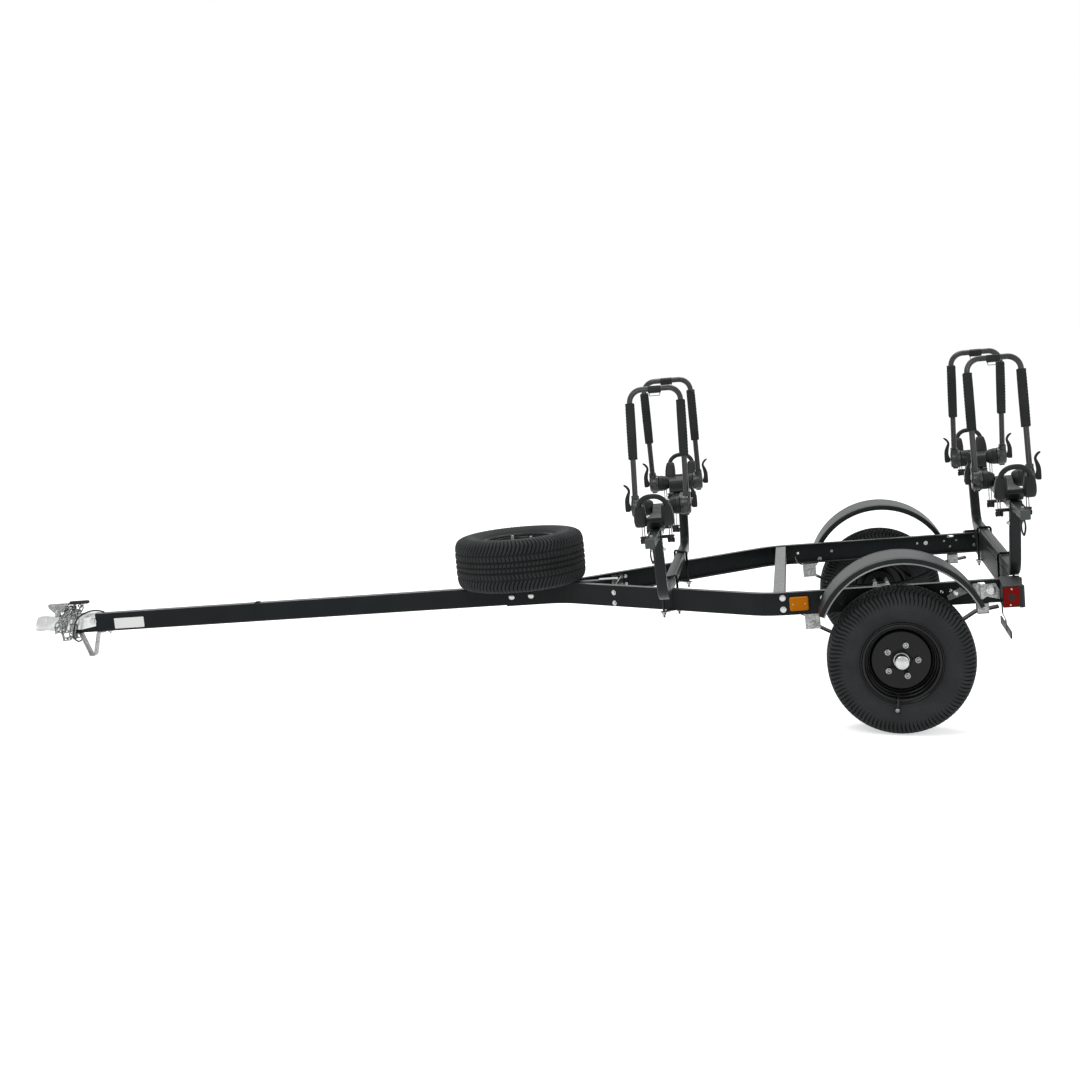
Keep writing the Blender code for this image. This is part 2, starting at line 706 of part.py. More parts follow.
def stud_ring(bm, sign, flange_a):
    """Five studs with cone nuts round the hub, one of them to the rear."""
    out = Vector((0, sign, 0))
    for k in range(LUG_COUNT):
        angle = 2 * math.pi * k / LUG_COUNT
        x, z = LUG_CIRCLE_R * math.cos(angle), LUG_CIRCLE_R * math.sin(angle)
        base = Vector((x, sign * (flange_a - 0.003), z))
        face = Vector((x, sign * (DISC_FACE + GAP), z))
        sections = [(base, STUD_R), (face, STUD_R), (face, NUT_R), (face + out * 0.016, NUT_R), (face + out * 0.021, STUD_R)]
        stack(bm, sections, out, 6)


def wheel(side_name, sign):
    """One wheel on its own empty at the axle line: tyre, rim and hub turn together."""
    joint = bpy.data.objects.new(side_name + "_wheel_axis", None)
    bpy.context.collection.objects.link(joint)
    joint.parent = chassis
    joint.location = (0, sign * TRACK_HALF, 0)
    level = Matrix.Rotation(-TILT, 4, "Y")
    bm = bmesh.new()
    tyre_solid(bm, (0, 0, 0), "Y")
    make(side_name + "_tyre", bm, "tyre_rubber", RUBBER, parent=joint, turn=level)
    bm = bmesh.new()
    lathe(bm, rim_profile(sign), "Y", (0, 0, 0), TYRE_SEGMENTS, phase=math.pi / TYRE_SEGMENTS)
    made = make(side_name + "_rim", bm, "rim_gloss_black", GLOSS_BLACK, parent=joint, turn=level)
    holes = bmesh.new()
    for k in range(LUG_COUNT):
        angle = 2 * math.pi * k / LUG_COUNT
        x, z = LUG_CIRCLE_R * math.cos(angle), LUG_CIRCLE_R * math.sin(angle)
        rod(holes, (x, sign * 0.018, z), (x, sign * 0.040, z), STUD_R + STUD_GAP, 6)
    cut(made, holes, side_name + "_rim_holes")
    bm = bmesh.new()
    flange = DISC_FACE - DISC_T - GAP
    bore = (SPINDLE_R + RUN_GAP) / math.cos(math.pi / HUB_SEGMENTS)
    profile = [
        (-0.060, bore), (-0.060, HUB_R), (flange - 0.009, HUB_R + 0.004), (flange - 0.009, HUB_FLANGE_R),
        (flange, HUB_FLANGE_R), (flange, HUB_R), (DISC_FACE + 0.010, HUB_R - 0.0015),
        (DISC_FACE + 0.010, CAP_R + 0.0045), (DISC_FACE + 0.014, CAP_R), (DISC_FACE + 0.030, CAP_R),
        (DISC_FACE + 0.033, CAP_R - 0.004), (DISC_FACE + 0.033, 0.0), (DISC_FACE + 0.028, 0.0), (DISC_FACE + 0.028, bore),
    ]
    lathe(bm, [(sign * along, radius) for along, radius in profile], "Y", (0, 0, 0), HUB_SEGMENTS)
    stud_ring(bm, sign, flange)
    make(side_name + "_hub", bm, "zinc", ZINC, parent=joint)


def spare_wheel():
    """Spare wheel lying on a hat-shaped mount that rises through its disc."""
    base = RAIL_TOP + SPARE_LIFT
    centre = Vector((SPARE_X, 0, base + TYRE_W / 2))
    bm = bmesh.new()
    tyre_solid(bm, centre, "Z")
    make("spare_tyre", bm, "tyre_rubber", RUBBER)
    bm = bmesh.new()
    lathe(bm, rim_profile(1), "Z", centre, TYRE_SEGMENTS, phase=math.pi / TYRE_SEGMENTS)
    made = make("spare_rim", bm, "rim_gloss_black", GLOSS_BLACK)
    holes = bmesh.new()
    for k in range(LUG_COUNT):
        angle = math.radians(72 * k)
        x = centre.x + LUG_CIRCLE_R * math.cos(angle)
        y = LUG_CIRCLE_R * math.sin(angle)
        rod(holes, (x, y, centre.z + 0.018), (x, y, centre.z + 0.040), STUD_R + STUD_GAP, 6)
    cut(made, holes, "spare_rim_holes")
    bm = bmesh.new()
    disc_under = centre.z + DISC_FACE - DISC_T - GAP
    foot_z = RAIL_TOP + GAP + SPARE_MOUNT_T / 2
    head_z = disc_under - SPARE_MOUNT_T / 2
    path = []
    for x, z in ((-0.072, foot_z), (-0.040, foot_z), (-0.040, head_z), (0.040, head_z), (0.040, foot_z), (0.072, foot_z)):
        path.append((centre.x + x, 0, z))
    sweep(bm, rounded(path, 0.006, 3), rect_section(SPARE_MOUNT_W, SPARE_MOUNT_T), side=(0, 1, 0))
    up = Vector((0, 0, 1))
    for k in (1, 4):
        angle = math.radians(72 * k)
        x = centre.x + LUG_CIRCLE_R * math.cos(angle)
        y = LUG_CIRCLE_R * math.sin(angle)
        root = Vector((x, y, disc_under - SPARE_MOUNT_T / 2))
        face = Vector((x, y, centre.z + DISC_FACE + GAP))
        sections = [(root, STUD_R), (face, STUD_R), (face, NUT_R), (face + up * 0.013, NUT_R), (face + up * 0.019, STUD_R)]
        stack(bm, sections, up, 6)
    make("spare_mount", bm, "chassis_black", BLACK_COAT)


def load_bar(name, bar_x, bar_z):
    """Square tube bent up at both ends, its top walls cut away to leave two ears."""
    cross_z = bar_z + CROSSBAR_RISE
    top = cross_z + CROSSBAR_SIZE / 2 + EAR_RISE
    top_y = BAR_CORNER_Y + (top - bar_z) * math.tan(POST_LEAN)
    path = [(bar_x, -top_y, top), (bar_x, -BAR_CORNER_Y, bar_z), (bar_x, BAR_CORNER_Y, bar_z), (bar_x, top_y, top)]
    bm = bmesh.new()
    outer = rect_section(BAR_SIZE, BAR_SIZE, 0.004)
    bore = rect_section(BAR_SIZE - 2 * BAR_WALL, BAR_SIZE - 2 * BAR_WALL, 0.0012)
    sweep(bm, rounded(path, BAR_BEND_R, 4), outer, side=(1, 0, 0), inner=bore)
    made = make(name + "_load_bar", bm, "chassis_black", BLACK_COAT)
    notch = bmesh.new()
    half = CROSSBAR_SIZE / 2 + GAP
    floor = cross_z - CROSSBAR_SIZE / 2 - GAP
    for sign in (-1, 1):
        span = sorted((sign * (POST_TOP_Y - 2.5 * BAR_SIZE), sign * (POST_TOP_Y + 2.5 * BAR_SIZE)))
        box(notch, (bar_x - half, bar_x + half), span, (floor, top + BAR_SIZE))
        box(notch, (bar_x - BAR_SIZE, bar_x + BAR_SIZE), span, (top - 0.004, top + BAR_SIZE))
    cut(made, notch, name + "_ear_notch")


def square_stack(bm, x, z, sections):
    """Square rings of given size set one after another along Y."""
    rings = []
    for y, size in sections:
        h = size / 2
        rings.append([bm.verts.new((x + a, y, z + b)) for a, b in ((-h, -h), (h, -h), (h, h), (-h, h))])
    for here, there in zip(rings, rings[1:]):
        for k in range(4):
            m = (k + 1) % 4
            bm.faces.new((here[k], here[m], there[m], there[k]))
    bm.faces.new(rings[0])
    bm.faces.new(rings[-1])


def fender(side_name, sign):
    """Rolled sheet arch with a lip down each edge and its two bracket plates."""
    t, lip = FENDER_T, FENDER_LIP
    w = FENDER_W / 2
    mid = FENDER_IN_Y + w
    section = [(-w, -lip), (-w, 0), (w, 0), (w, -lip), (w - t, -lip), (w - t, -t), (-w + t, -t), (-w + t, -lip)]
    path = []
    steps = 11
    for k in range(steps + 1):
        angle = -FENDER_HALF_ARC + 2 * FENDER_HALF_ARC * k / steps
        path.append((FENDER_X + FENDER_R * math.sin(angle), mid, FENDER_Z + FENDER_R * math.cos(angle)))
    bm = bmesh.new()
    sweep(bm, path, section, side=(0, 1, 0))
    plate = RAIL_T
    rail_side = RAIL_OUTER_Y + GAP + plate / 2
    for x_tab, x_far in ((0.272, 0.358), (-0.258, -0.172)):
        path = [(x_far, rail_side, FENDER_TAB_Z), (x_tab, rail_side, FENDER_TAB_Z), (x_tab, FENDER_IN_Y + WELD, FENDER_TAB_Z)]
        sweep(bm, rounded(path, 0.004, 3), rect_section(FENDER_TAB_H, plate), side=(0, 0, 1))
    make(side_name + "_fender", bm, "chassis_black", BLACK_COAT, mirror=sign < 0)


def lights(side_name, sign):
    """Side marker, and the tail light's housing with the lens that wraps its rear corner."""
    bm = bmesh.new()
    x0, x1 = MARKER_X - MARKER_W / 2, MARKER_X + MARKER_W / 2
    z0, z1 = FRAME_Z - MARKER_H / 2, FRAME_Z + MARKER_H / 2
    y0 = RAIL_OUTER_Y + GAP
    sections = []
    for y, inset in ((y0, 0.0), (y0 + MARKER_D - 0.005, 0.0), (y0 + MARKER_D, 0.005)):
        sections.append((sign * y, x0 + inset, x1 - inset, z0 + inset, z1 - inset))
    loft_boxes(bm, sections)
    make(side_name + "_side_marker", bm, "amber_lens", AMBER)
    bm = bmesh.new()
    y1 = TAIL_Y1
    outline = [(sign * y0, TAIL_Z0), (sign * y1, TAIL_Z0), (sign * y1, TAIL_Z1), (sign * y0, TAIL_Z1 + TAIL_SLOPE)]
    prism(bm, outline, "X", TAIL_X0, TAIL_X1)
    make(side_name + "_tail_light_housing", bm, "moulded_black", PLASTIC)
    bm = bmesh.new()
    side = y1 + GAP
    rear = TAIL_X1 + GAP
    t = TAIL_LENS_T
    wrap = [
        (TAIL_X0 + 0.004, side), (rear, side), (rear, y0 + 0.004), (rear + t, y0 + 0.004),
        (rear + t, side + t - 0.003), (rear + t - 0.003, side + t), (TAIL_X0 + 0.004, side + t),
    ]
    prism(bm, [(x, sign * y) for x, y in wrap], "Z", TAIL_Z0 + 0.003, TAIL_Z1 - 0.002)
    make(side_name + "_tail_light_lens", bm, "red_lens", RED)


def loft_boxes(bm, sections):
    """Rectangles (y, x0, x1, z0, z1) joined one after another along Y."""
    rings = []
    for y, x0, x1, z0, z1 in sections:
        rings.append([bm.verts.new(point) for point in ((x0, y, z0), (x1, y, z0), (x1, y, z1), (x0, y, z1))])
    for here, there in zip(rings, rings[1:]):
        for k in range(4):
            m = (k + 1) % 4
            bm.faces.new((here[k], here[m], there[m], there[k]))
    bm.faces.new(rings[0])
    bm.faces.new(rings[-1])


def plate_bracket():
    """Strap down from the left rail and the long bar that carries the licence plate."""
    bm = bmesh.new()
    t = 0.0025
    y = PLATE_BRACKET_Y
    strap = [
        (0.408, y, RAIL_BOTTOM - GAP - t / 2), (0.374, y, RAIL_BOTTOM - GAP - t / 2), (0.374, y, 0.108),
        (0.384, y, 0.084), (0.384, y, 0.044),
    ]
    sweep(bm, rounded(strap, 0.005, 3), rect_section(0.030, t), side=(0, 1, 0))
    box(bm, (0.384, 0.384 + 2 * t), (PLATE_BAR_Y0, PLATE_BAR_Y1), (0.040, 0.066))
    make("licence_plate_bracket", bm, "chassis_black", BLACK_COAT)


def coupler():
    """Pressed steel coupler: an inverted channel that narrows to the ball dome, with the lever's lug."""
    bm = bmesh.new()
    t = COUPLER_T
    half_tongue = TONGUE_W / 2 + GAP + t
    top_rear = TONGUE_TOP + GAP + t
    stations = (
        (-3.574, 0.0140, 0.2200, 0.1820), (-3.564, 0.0240, 0.2290, 0.1800), (-3.548, 0.0310, 0.2350, 0.1780),
        (-3.528, 0.0330, 0.2365, 0.1770), (-3.506, 0.0300, 0.2300, 0.1760), (-3.480, half_tongue, 0.2320, 0.1740),
        (-3.440, half_tongue, top_rear, 0.1720), (COUPLER_REAR_X, half_tongue, top_rear, 0.1720),
    )
    rings = []
    for x, half, top, low in stations:
        c = half * 0.35 if x < TONGUE_FRONT_X - 0.06 else 0.0055
        outline = [
            (-half, low), (-half, top - c), (-half + c, top), (half - c, top), (half, top - c), (half, low),
            (half - t, low), (half - t, top - c - t * 0.4), (half - c - t * 0.4, top - t),
            (-half + c + t * 0.4, top - t), (-half + t, top - c - t * 0.4), (-half + t, low),
        ]
        rings.append([bm.verts.new((x, y, z)) for y, z in outline])
    for here, there in zip(rings, rings[1:]):
        for k in range(12):
            m = (k + 1) % 12
            bm.faces.new((here[k], here[m], there[m], there[k]))
    for ring in (rings[0], rings[-1]):
        for k in range(5):
            bm.faces.new((ring[k], ring[k + 1], ring[10 - k], ring[11 - k]))
    half = LUG_HALF
    box(bm, (LEVER_PIVOT.x - 0.011, LEVER_PIVOT.x + 0.011), (-half, half), (top_rear - t - WELD, LEVER_PIVOT.z + 0.009))
    made = make("coupler_body", bm, "zinc", ZINC)
    bore = bmesh.new()
    rod(bore, (LEVER_PIVOT.x, -0.03, LEVER_PIVOT.z), (LEVER_PIVOT.x, 0.03, LEVER_PIVOT.z), LEVER_PIN_R + GAP, 12)
    cut(made, bore, "coupler_lug_bore")


def coupler_lever():
    """Latch lever on a pin through the coupler's lug: side cheeks, handle strip and vinyl grip."""
    joint = bpy.data.objects.new("coupler_lever_axis", None)
    bpy.context.collection.objects.link(joint)
    joint.parent = chassis
    joint.location = LEVER_PIVOT
    rise = LEVER_REST_Z - LEVER_PIVOT.z
    bm = bmesh.new()
    cheek = LUG_HALF + RUN_GAP
    outline = [(-0.034, rise - 0.014), (-0.012, -0.004), (0.0, -0.0075), (0.010, -0.004), (0.055, rise - 0.006), (0.055, rise), (-0.034, rise)]
    for sign in (-1, 1):
        prism(bm, outline, "Y", sign * cheek, sign * (cheek + 0.0025))
    box(bm, (-0.0345, 0.0555), (-cheek - 0.0020, cheek + 0.0020), (rise - 0.0025, rise + 0.0005))
    rod(bm, (0, -cheek - 0.0045, 0), (0, cheek + 0.0045, 0), LEVER_PIN_R, 12)
    path = [(0.050, 0, rise - 0.0015), (0.148, 0, rise - 0.0005)]
    sweep(bm, path, rect_section(0.020, 0.013, 0.004), side=(0, 1, 0))
    make("coupler_lever", bm, "zinc", ZINC, parent=joint)


def tongue_stand():
    """V of bent strap under the tongue; its foot lies flat on the ground."""
    foot_z = TONGUE_BOTTOM - STAND_DEPTH
    top_z = TONGUE_BOTTOM - GAP - STAND_T / 2
    level = Vector((math.cos(TILT), 0, math.sin(TILT)))
    foot = Vector((STAND_X, 0, foot_z)) + Vector((-math.sin(TILT), 0, math.cos(TILT))) * STAND_T / 2
    path = [
        (-3.405, 0, top_z), (-3.376, 0, top_z), foot - level * 0.009, foot + level * 0.009,
        (-3.296, 0, top_z), (-3.262, 0, top_z),
    ]
    bm = bmesh.new()
    sweep(bm, rounded(path, 0.005, 3), rect_section(STAND_W, STAND_T), side=(0, 1, 0))
    make("tongue_stand", bm, "zinc", ZINC)


def chain_link(bm, centre, along, across, straight, radius, wire):
    """One oval link lying in the plane of along and across."""
    normal = along.cross(across).normalized()
    path = []
    steps = 3
    for end in (1, -1):
        for k in range(steps + 1):
            angle = math.pi * k / steps - math.pi / 2
            u = end * (straight / 2 + radius * math.cos(angle))
            v = end * radius * math.sin(angle)
            path.append(centre + along * u + across * v)
    sweep(bm, path, ring_section(wire, 4), side=normal, closed=True)


def chain_point(t):
    """A squarish spiral round the coupler, leaning back at the top."""
    angle = 2 * math.pi * CHAIN_TURNS * t + CHAIN_START
    c, s = math.cos(angle), math.sin(angle)
    power = 0.42
    y = CHAIN_HALF_W * math.copysign(abs(c) ** power, c)
    z = CHAIN_HALF_H * math.copysign(abs(s) ** power, s)
    return Vector((CHAIN_X0 + (CHAIN_X1 - CHAIN_X0) * t + CHAIN_RAKE * z, y, CHAIN_Z + z))


def cord(name, points, radius, slot, look, resolution=2):
    """A cord along a smooth curve through its route's points."""
    smooth = smooth_route(points, radius)
    curve = bpy.data.curves.new(name, "CURVE")
    curve.dimensions = "3D"
    curve.bevel_depth = radius
    curve.bevel_resolution = resolution
    curve.use_fill_caps = True
    spline = curve.splines.new("POLY")
    spline.points.add(len(smooth) - 1)
    for target, point in zip(spline.points, smooth):
        target.co = (*point, 1.0)
    curve.materials.append(material(slot, look))
    obj = bpy.data.objects.new(name, curve)
    bpy.context.collection.objects.link(obj)
    obj.parent = chassis
    return smooth


def smooth_route(points, radius):
    """Points of a Catmull-Rom curve, one every five radii or so and at most eighty."""
    points = [Vector(point) for point in points]
    padded = [2 * points[0] - points[1]] + points + [2 * points[-1] - points[-2]]
    dense = []
    for a, b, c, d in zip(padded, padded[1:], padded[2:], padded[3:]):
        for k in range(40):
            t = k / 40
            dense.append(0.5 * (2 * b + (c - a) * t + (2 * a - 5 * b + 4 * c - d) * t * t + (3 * b - a - 3 * c + d) * t ** 3))
    dense.append(points[-1])
    length = sum((b - a).length for a, b in zip(dense, dense[1:]))
    count = min(79, max(2, round(length / (7 * radius))))
    step = length / count
    result = [dense[0]]
    travelled = 0.0
    for a, b in zip(dense, dense[1:]):
        travelled += (b - a).length
        if travelled >= step * len(result) and len(result) < count:
            result.append(b)
    result.append(dense[-1])
    return result


def wiring_lead():
    """Free end of the wiring, one turn round the chains, with its flat connector."""
    smooth = cord("wiring_lead", WIRE_ROUTE, WIRE_R, "cable_black", RUBBER)
    end = smooth[-1]
    along = (smooth[-1] - smooth[-2]).normalized()
    bm = bmesh.new()
    start = end + along * 2 * GAP
    sweep(bm, [start, start + along * 0.030], rect_section(0.026, 0.009, 0.002), side=(1, 0, 0))
    make("wiring_plug", bm, "moulded_black", PLASTIC)


def cradle_base(name, sign, bar_x, cross_z):
    """Moulded base bolted round the crossbar: spine, hinge hubs, clamps and the low arch leaning outboard."""
    floor = cross_z + CROSSBAR_SIZE / 2 + GAP
    hinge = Vector((bar_x, HINGE_Y, cross_z + HINGE_RISE))
    bm = bmesh.new()
    spine = [
        (HINGE_Y - 0.018, floor), (LOW_ARCH_Y + 0.014, floor), (LOW_ARCH_Y + 0.020, floor + 0.016),
        (LOW_ARCH_Y - 0.010, floor + 0.028), (HINGE_Y + 0.070, floor + 0.024), (HINGE_Y + 0.030, hinge.z + 0.006),
        (HINGE_Y - 0.018, hinge.z + 0.006),
    ]
    half = SPINE_HALF
    prism(bm, spine, "X", bar_x - half, bar_x + half)
    for end in (-1, 1):
        hub = [(0.0, 0.0), (0.0, HUB_DISC_R), (HUB_DISC_X - half + WELD, HUB_DISC_R), (HUB_DISC_X - half + WELD, 0.0)]
        lathe(bm, [(end * a, r) for a, r in hub], "X", (bar_x + end * (half - WELD), hinge.y, hinge.z), 10)
        wing = [
            (LOW_ARCH_Y - 0.070, floor - 0.004), (LOW_ARCH_Y + 0.020, floor - 0.003),
            (LOW_ARCH_Y + 0.026, floor + 0.020), (LOW_ARCH_Y - 0.016, floor + 0.025), (LOW_ARCH_Y - 0.066, floor + 0.012),
        ]
        prism(bm, wing, "X", bar_x + end * (half - WELD), bar_x + end * (LOW_ARCH_HALF + 0.018))
    lean = Vector((0, math.sin(LOW_ARCH_LEAN), math.cos(LOW_ARCH_LEAN)))
    foot = Vector((bar_x, LOW_ARCH_Y, floor + 0.010))
    ends = [foot + Vector((e * LOW_ARCH_HALF, 0, 0)) for e in (-1, 1)]
    arch = [ends[0], ends[0] + lean * LOW_ARCH_TOP, ends[1] + lean * LOW_ARCH_TOP, ends[1]]
    side = lean.cross(Vector((1, 0, 0)))
    sweep(bm, rounded(arch, 0.044, 3), ring_section(LOW_ARCH_TUBE_R, 6), side=side)
    for end in ends:
        sweep(bm, [end + lean * 0.004, end + lean * LOBE_TOP], rect_section(0.034, 0.032, 0.007), side=(1, 0, 0))
    under = cross_z - CROSSBAR_SIZE / 2 - GAP
    up = Vector((0, 0, 1))
    for y in CLAMP_Y:
        box(bm, (bar_x - CLAMP_HALF, bar_x + CLAMP_HALF), (y - 0.012, y + 0.012), (under - CLAMP_T, under))
        for end in (-1, 1):
            spot = Vector((bar_x + end * CLAMP_BOLT_X, y, under - CLAMP_T + WELD))
            low = spot - up * KNOB_H
            high = spot + up * (CROSSBAR_SIZE + CLAMP_T + 0.012)
            stack(bm, [(low, KNOB_R), (spot, KNOB_R * 0.8), (spot, CLAMP_BOLT_R), (high, CLAMP_BOLT_R)], up, 5)
    make(name + "_base", bm, "moulded_black", PLASTIC, mirror=sign < 0)


def cradle_arm(name, sign, bar_x, cross_z):
    """Tall folding arm on the hinge line: knuckles, bent tube and two ribbed foam pads."""
    joint = bpy.data.objects.new(name + "_arm_axis", None)
    bpy.context.collection.objects.link(joint)
    joint.parent = chassis
    joint.location = (bar_x, sign * HINGE_Y, cross_z + HINGE_RISE)
    up = Vector((0, -math.sin(ARM_LEAN), math.cos(ARM_LEAN)))
    side = up.cross(Vector((1, 0, 0)))
    bm = bmesh.new()
    legs = [Vector((end * LEG_HALF, 0, 0)) for end in (-1, 1)]
    path = [legs[0] + up * 0.020, legs[0] + up * ARM_LEN, legs[1] + up * ARM_LEN, legs[1] + up * 0.020]
    sweep(bm, rounded(path, ARM_TOP_R, 4), ring_section(ARM_TUBE_R, 8), side=side)
    for leg in legs:
        foam_pad(bm, leg, up, side)
    for end in (-1, 1):
        start = end * (HUB_DISC_X + RUN_GAP)
        depth = KNUCKLE_X - HUB_DISC_X - RUN_GAP
        knuckle = [(0.0, 0.0), (0.0, KNUCKLE_R), (depth, KNUCKLE_R - 0.003), (depth, 0.0)]
        lathe(bm, [(end * a, r) for a, r in knuckle], "X", (start, 0, 0), 12)
    make(name + "_arm", bm, "moulded_black", PLASTIC, parent=joint, mirror=sign < 0)
    for end, word in ((-1, "front"), (1, "rear")):
        cam_lever(name, word, end, sign, joint)


def foam_pad(bm, leg, up, side):
    """Foam sleeve round one leg, a soft square in section."""
    across = Vector((1, 0, 0))
    half = PAD_W / 2
    rings = []
    for distance in (PAD_LOW, PAD_LOW + PAD_LEN):
        ring = []
        for k in range(PAD_SIDES):
            angle = 2 * math.pi * (k + 0.5) / PAD_SIDES
            c, s = math.cos(angle), math.sin(angle)
            square = (abs(c) ** 5 + abs(s) ** 5) ** (-1 / 5)
            ring.append(bm.verts.new(leg + up * distance + across * (half * square * c) + side * (half * square * s)))
        rings.append(ring)
    for here, there in zip(rings, rings[1:]):
        for k in range(PAD_SIDES):
            m = (k + 1) % PAD_SIDES
            bm.faces.new((here[k], here[m], there[m], there[k]))
    bm.faces.new(rings[0])
    bm.faces.new(rings[-1])


def cam_lever(name, word, end, sign, joint):
    """Hooked cam lever outside a knuckle, on its cross pin."""
    pivot = bpy.data.objects.new(name + "_" + word + "_lever_axis", None)
    bpy.context.collection.objects.link(pivot)
    pivot.parent = joint
    pivot.location = (end * LEVER_OFFSET, 0, 0)
    bm = bmesh.new()
    cam = LEVER_OFFSET - KNUCKLE_X - 2 * GAP
    outline = [(cam * math.cos(a), cam * math.sin(a)) for a in (math.pi * (1 + k / 6) for k in range(6))]
    outline += [
        (0.0090, 0.004), (0.0040, 0.030), (-0.0040, 0.050), (-0.0030, 0.066), (0.0050, 0.086), (0.0120, 0.094),
        (0.0100, 0.0965), (0.0000, 0.090), (-0.0075, 0.070), (-0.0085, 0.050), (-0.0115, 0.020),
    ]
    prism(bm, [(end * x, z) for x, z in outline], "Y", -0.0105, 0.0105)
    make(name + "_" + word + "_lever", bm, "moulded_black", PLASTIC, parent=pivot, mirror=sign < 0)


def islands(bm):
    """The separate shells of a bmesh, each as a list of faces."""
    left = set(bm.faces)
    found = []
    while left:
        seed = left.pop()
        shell = [seed]
        todo = [seed]
        while todo:
            face = todo.pop()
            for vert in face.verts:
                for other in vert.link_faces:
                    if other in left:
                        left.remove(other)
                        shell.append(other)
                        todo.append(other)
        found.append(shell)
    return sorted(found, key=lambda shell: min(face.index for face in shell))


def leaf_spring(side_name, sign):
    """Pack of one main leaf with a rolled front eye and two shorter leaves."""
    bm = bmesh.new()
    y = sign * SPRING_Y
    for level, half in enumerate(SHORT_LEAVES):
        offset = LEAF_T / 2 + level * (LEAF_T - LEAF_BOND)
        points = [(x, y, spring_curve(x, offset)) for x in leaf_stations(-half, half, 3)]
        sweep(bm, points, rect_section(SPRING_W - 0.0010 * (2 - level), LEAF_T), side=(0, 1, 0))
    offset = LEAF_T / 2 + len(SHORT_LEAVES) * (LEAF_T - LEAF_BOND)
    points = []
    eye_mid = EYE_R - LEAF_T / 2
    centre = Vector((FRONT_EYE.x, y, FRONT_EYE.z))
    for k in range(10):
        angle = math.radians(255 - 35 * k)
        points.append(centre + Vector((eye_mid * math.cos(angle), 0, eye_mid * math.sin(angle))))
    for x in leaf_stations(EYE_END_X, SPRING_TAIL_X, 5)[1:] + [LEAF_TAIL_X]:
        points.append(Vector((x, y, spring_curve(x, offset))))
    sweep(bm, points, rect_section(SPRING_W, LEAF_T), side=(0, 1, 0))
    make(side_name + "_leaf_spring", bm, "chassis_black", BLACK_COAT)


def spring_clamp(side_name, sign):
    """Two U-bolts under the axle, the plate above the spring and four nuts."""
    bm = bmesh.new()
    plate_z = SPRING_SEAT_Z + 3 * LEAF_T - 2 * LEAF_BOND + GAP + 0.0004
    leg_x = AXLE_SIZE / 2 + UROD_R + RUN_GAP
    leg_y = SPRING_W / 2 + UROD_R + RUN_GAP
    y = sign * SPRING_Y
    half_x, half_y = leg_x + 0.012, leg_y + 0.012
    box(bm, (-half_x, half_x), (y - half_y, y + half_y), (plate_z, plate_z + CLAMP_PLATE_T))
    low = -AXLE_SIZE / 2 - UROD_R - RUN_GAP
    top = plate_z + CLAMP_PLATE_T + 0.016
    for offset in (-leg_y, leg_y):
        path = [(-leg_x, y + offset, top), (-leg_x, y + offset, low), (leg_x, y + offset, low), (leg_x, y + offset, top)]
        sweep(bm, rounded(path, UBOLT_BEND_R, 2), ring_section(UROD_R, 6), side=(0, 1, 0))
        for x in (-leg_x, leg_x):
            hex_nut(bm, (x, y + offset, plate_z + CLAMP_PLATE_T - WELD), (0, 0, 1), 0.016, 0.009)
    make(side_name + "_spring_clamp", bm, "zinc", ZINC)


def crossbar(name, bar_x, bar_z):
    """Square tube with a plastic cap in each end and a webbing loop hanging near each end."""
    cross_z = bar_z + CROSSBAR_RISE
    bm = bmesh.new()
    outer = rect_section(CROSSBAR_SIZE, CROSSBAR_SIZE, 0.003)
    bore = rect_section(CROSSBAR_SIZE - 2 * CROSSBAR_WALL, CROSSBAR_SIZE - 2 * CROSSBAR_WALL, 0.0012)
    sweep(bm, [(bar_x, -CROSSBAR_HALF, cross_z), (bar_x, CROSSBAR_HALF, cross_z)], outer, side=(1, 0, 0), inner=bore)
    lip = CROSSBAR_SIZE + 2 * CAP_LIP
    for sign in (-1, 1):
        inner = CROSSBAR_HALF - WELD
        sections = [(inner, lip), (inner + CAP_LEN, lip), (inner + CAP_LEN + 0.001, lip - 0.002)]
        square_stack(bm, bar_x, cross_z, [(sign * y, size) for y, size in sections])
        tie_down_loop(bm, bar_x, sign * LOOP_Y, cross_z - CROSSBAR_SIZE / 2)
    made = make(name + "_crossbar", bm, "chassis_black", BLACK_COAT)
    holes = bmesh.new()
    for sign in (-1, 1):
        start = (bar_x - CROSSBAR_SIZE, sign * POST_TOP_Y, cross_z)
        rod(holes, start, (bar_x + CROSSBAR_SIZE, sign * POST_TOP_Y, cross_z), POST_BOLT_R + GAP, 6)
    cut(made, holes, name + "_crossbar_holes")


def tie_down_loop(bm, x, y, under):
    """One webbing loop: a flat strap bent into a drop and fixed under the crossbar."""
    drop = ((-0.006, -0.010), (0.006, -0.010), (0.0085, -0.028), (0.005, -0.052), (0.0, -0.064), (-0.005, -0.052), (-0.0085, -0.028))
    path = [(x + a, y, under + b) for a, b in drop]
    sweep(bm, path, rect_section(0.020, 0.0022), side=(0, 1, 0), closed=True)
    box(bm, (x - 0.0035, x + 0.0035), (y - 0.0085, y + 0.0085), (under - 0.011, under + WELD))


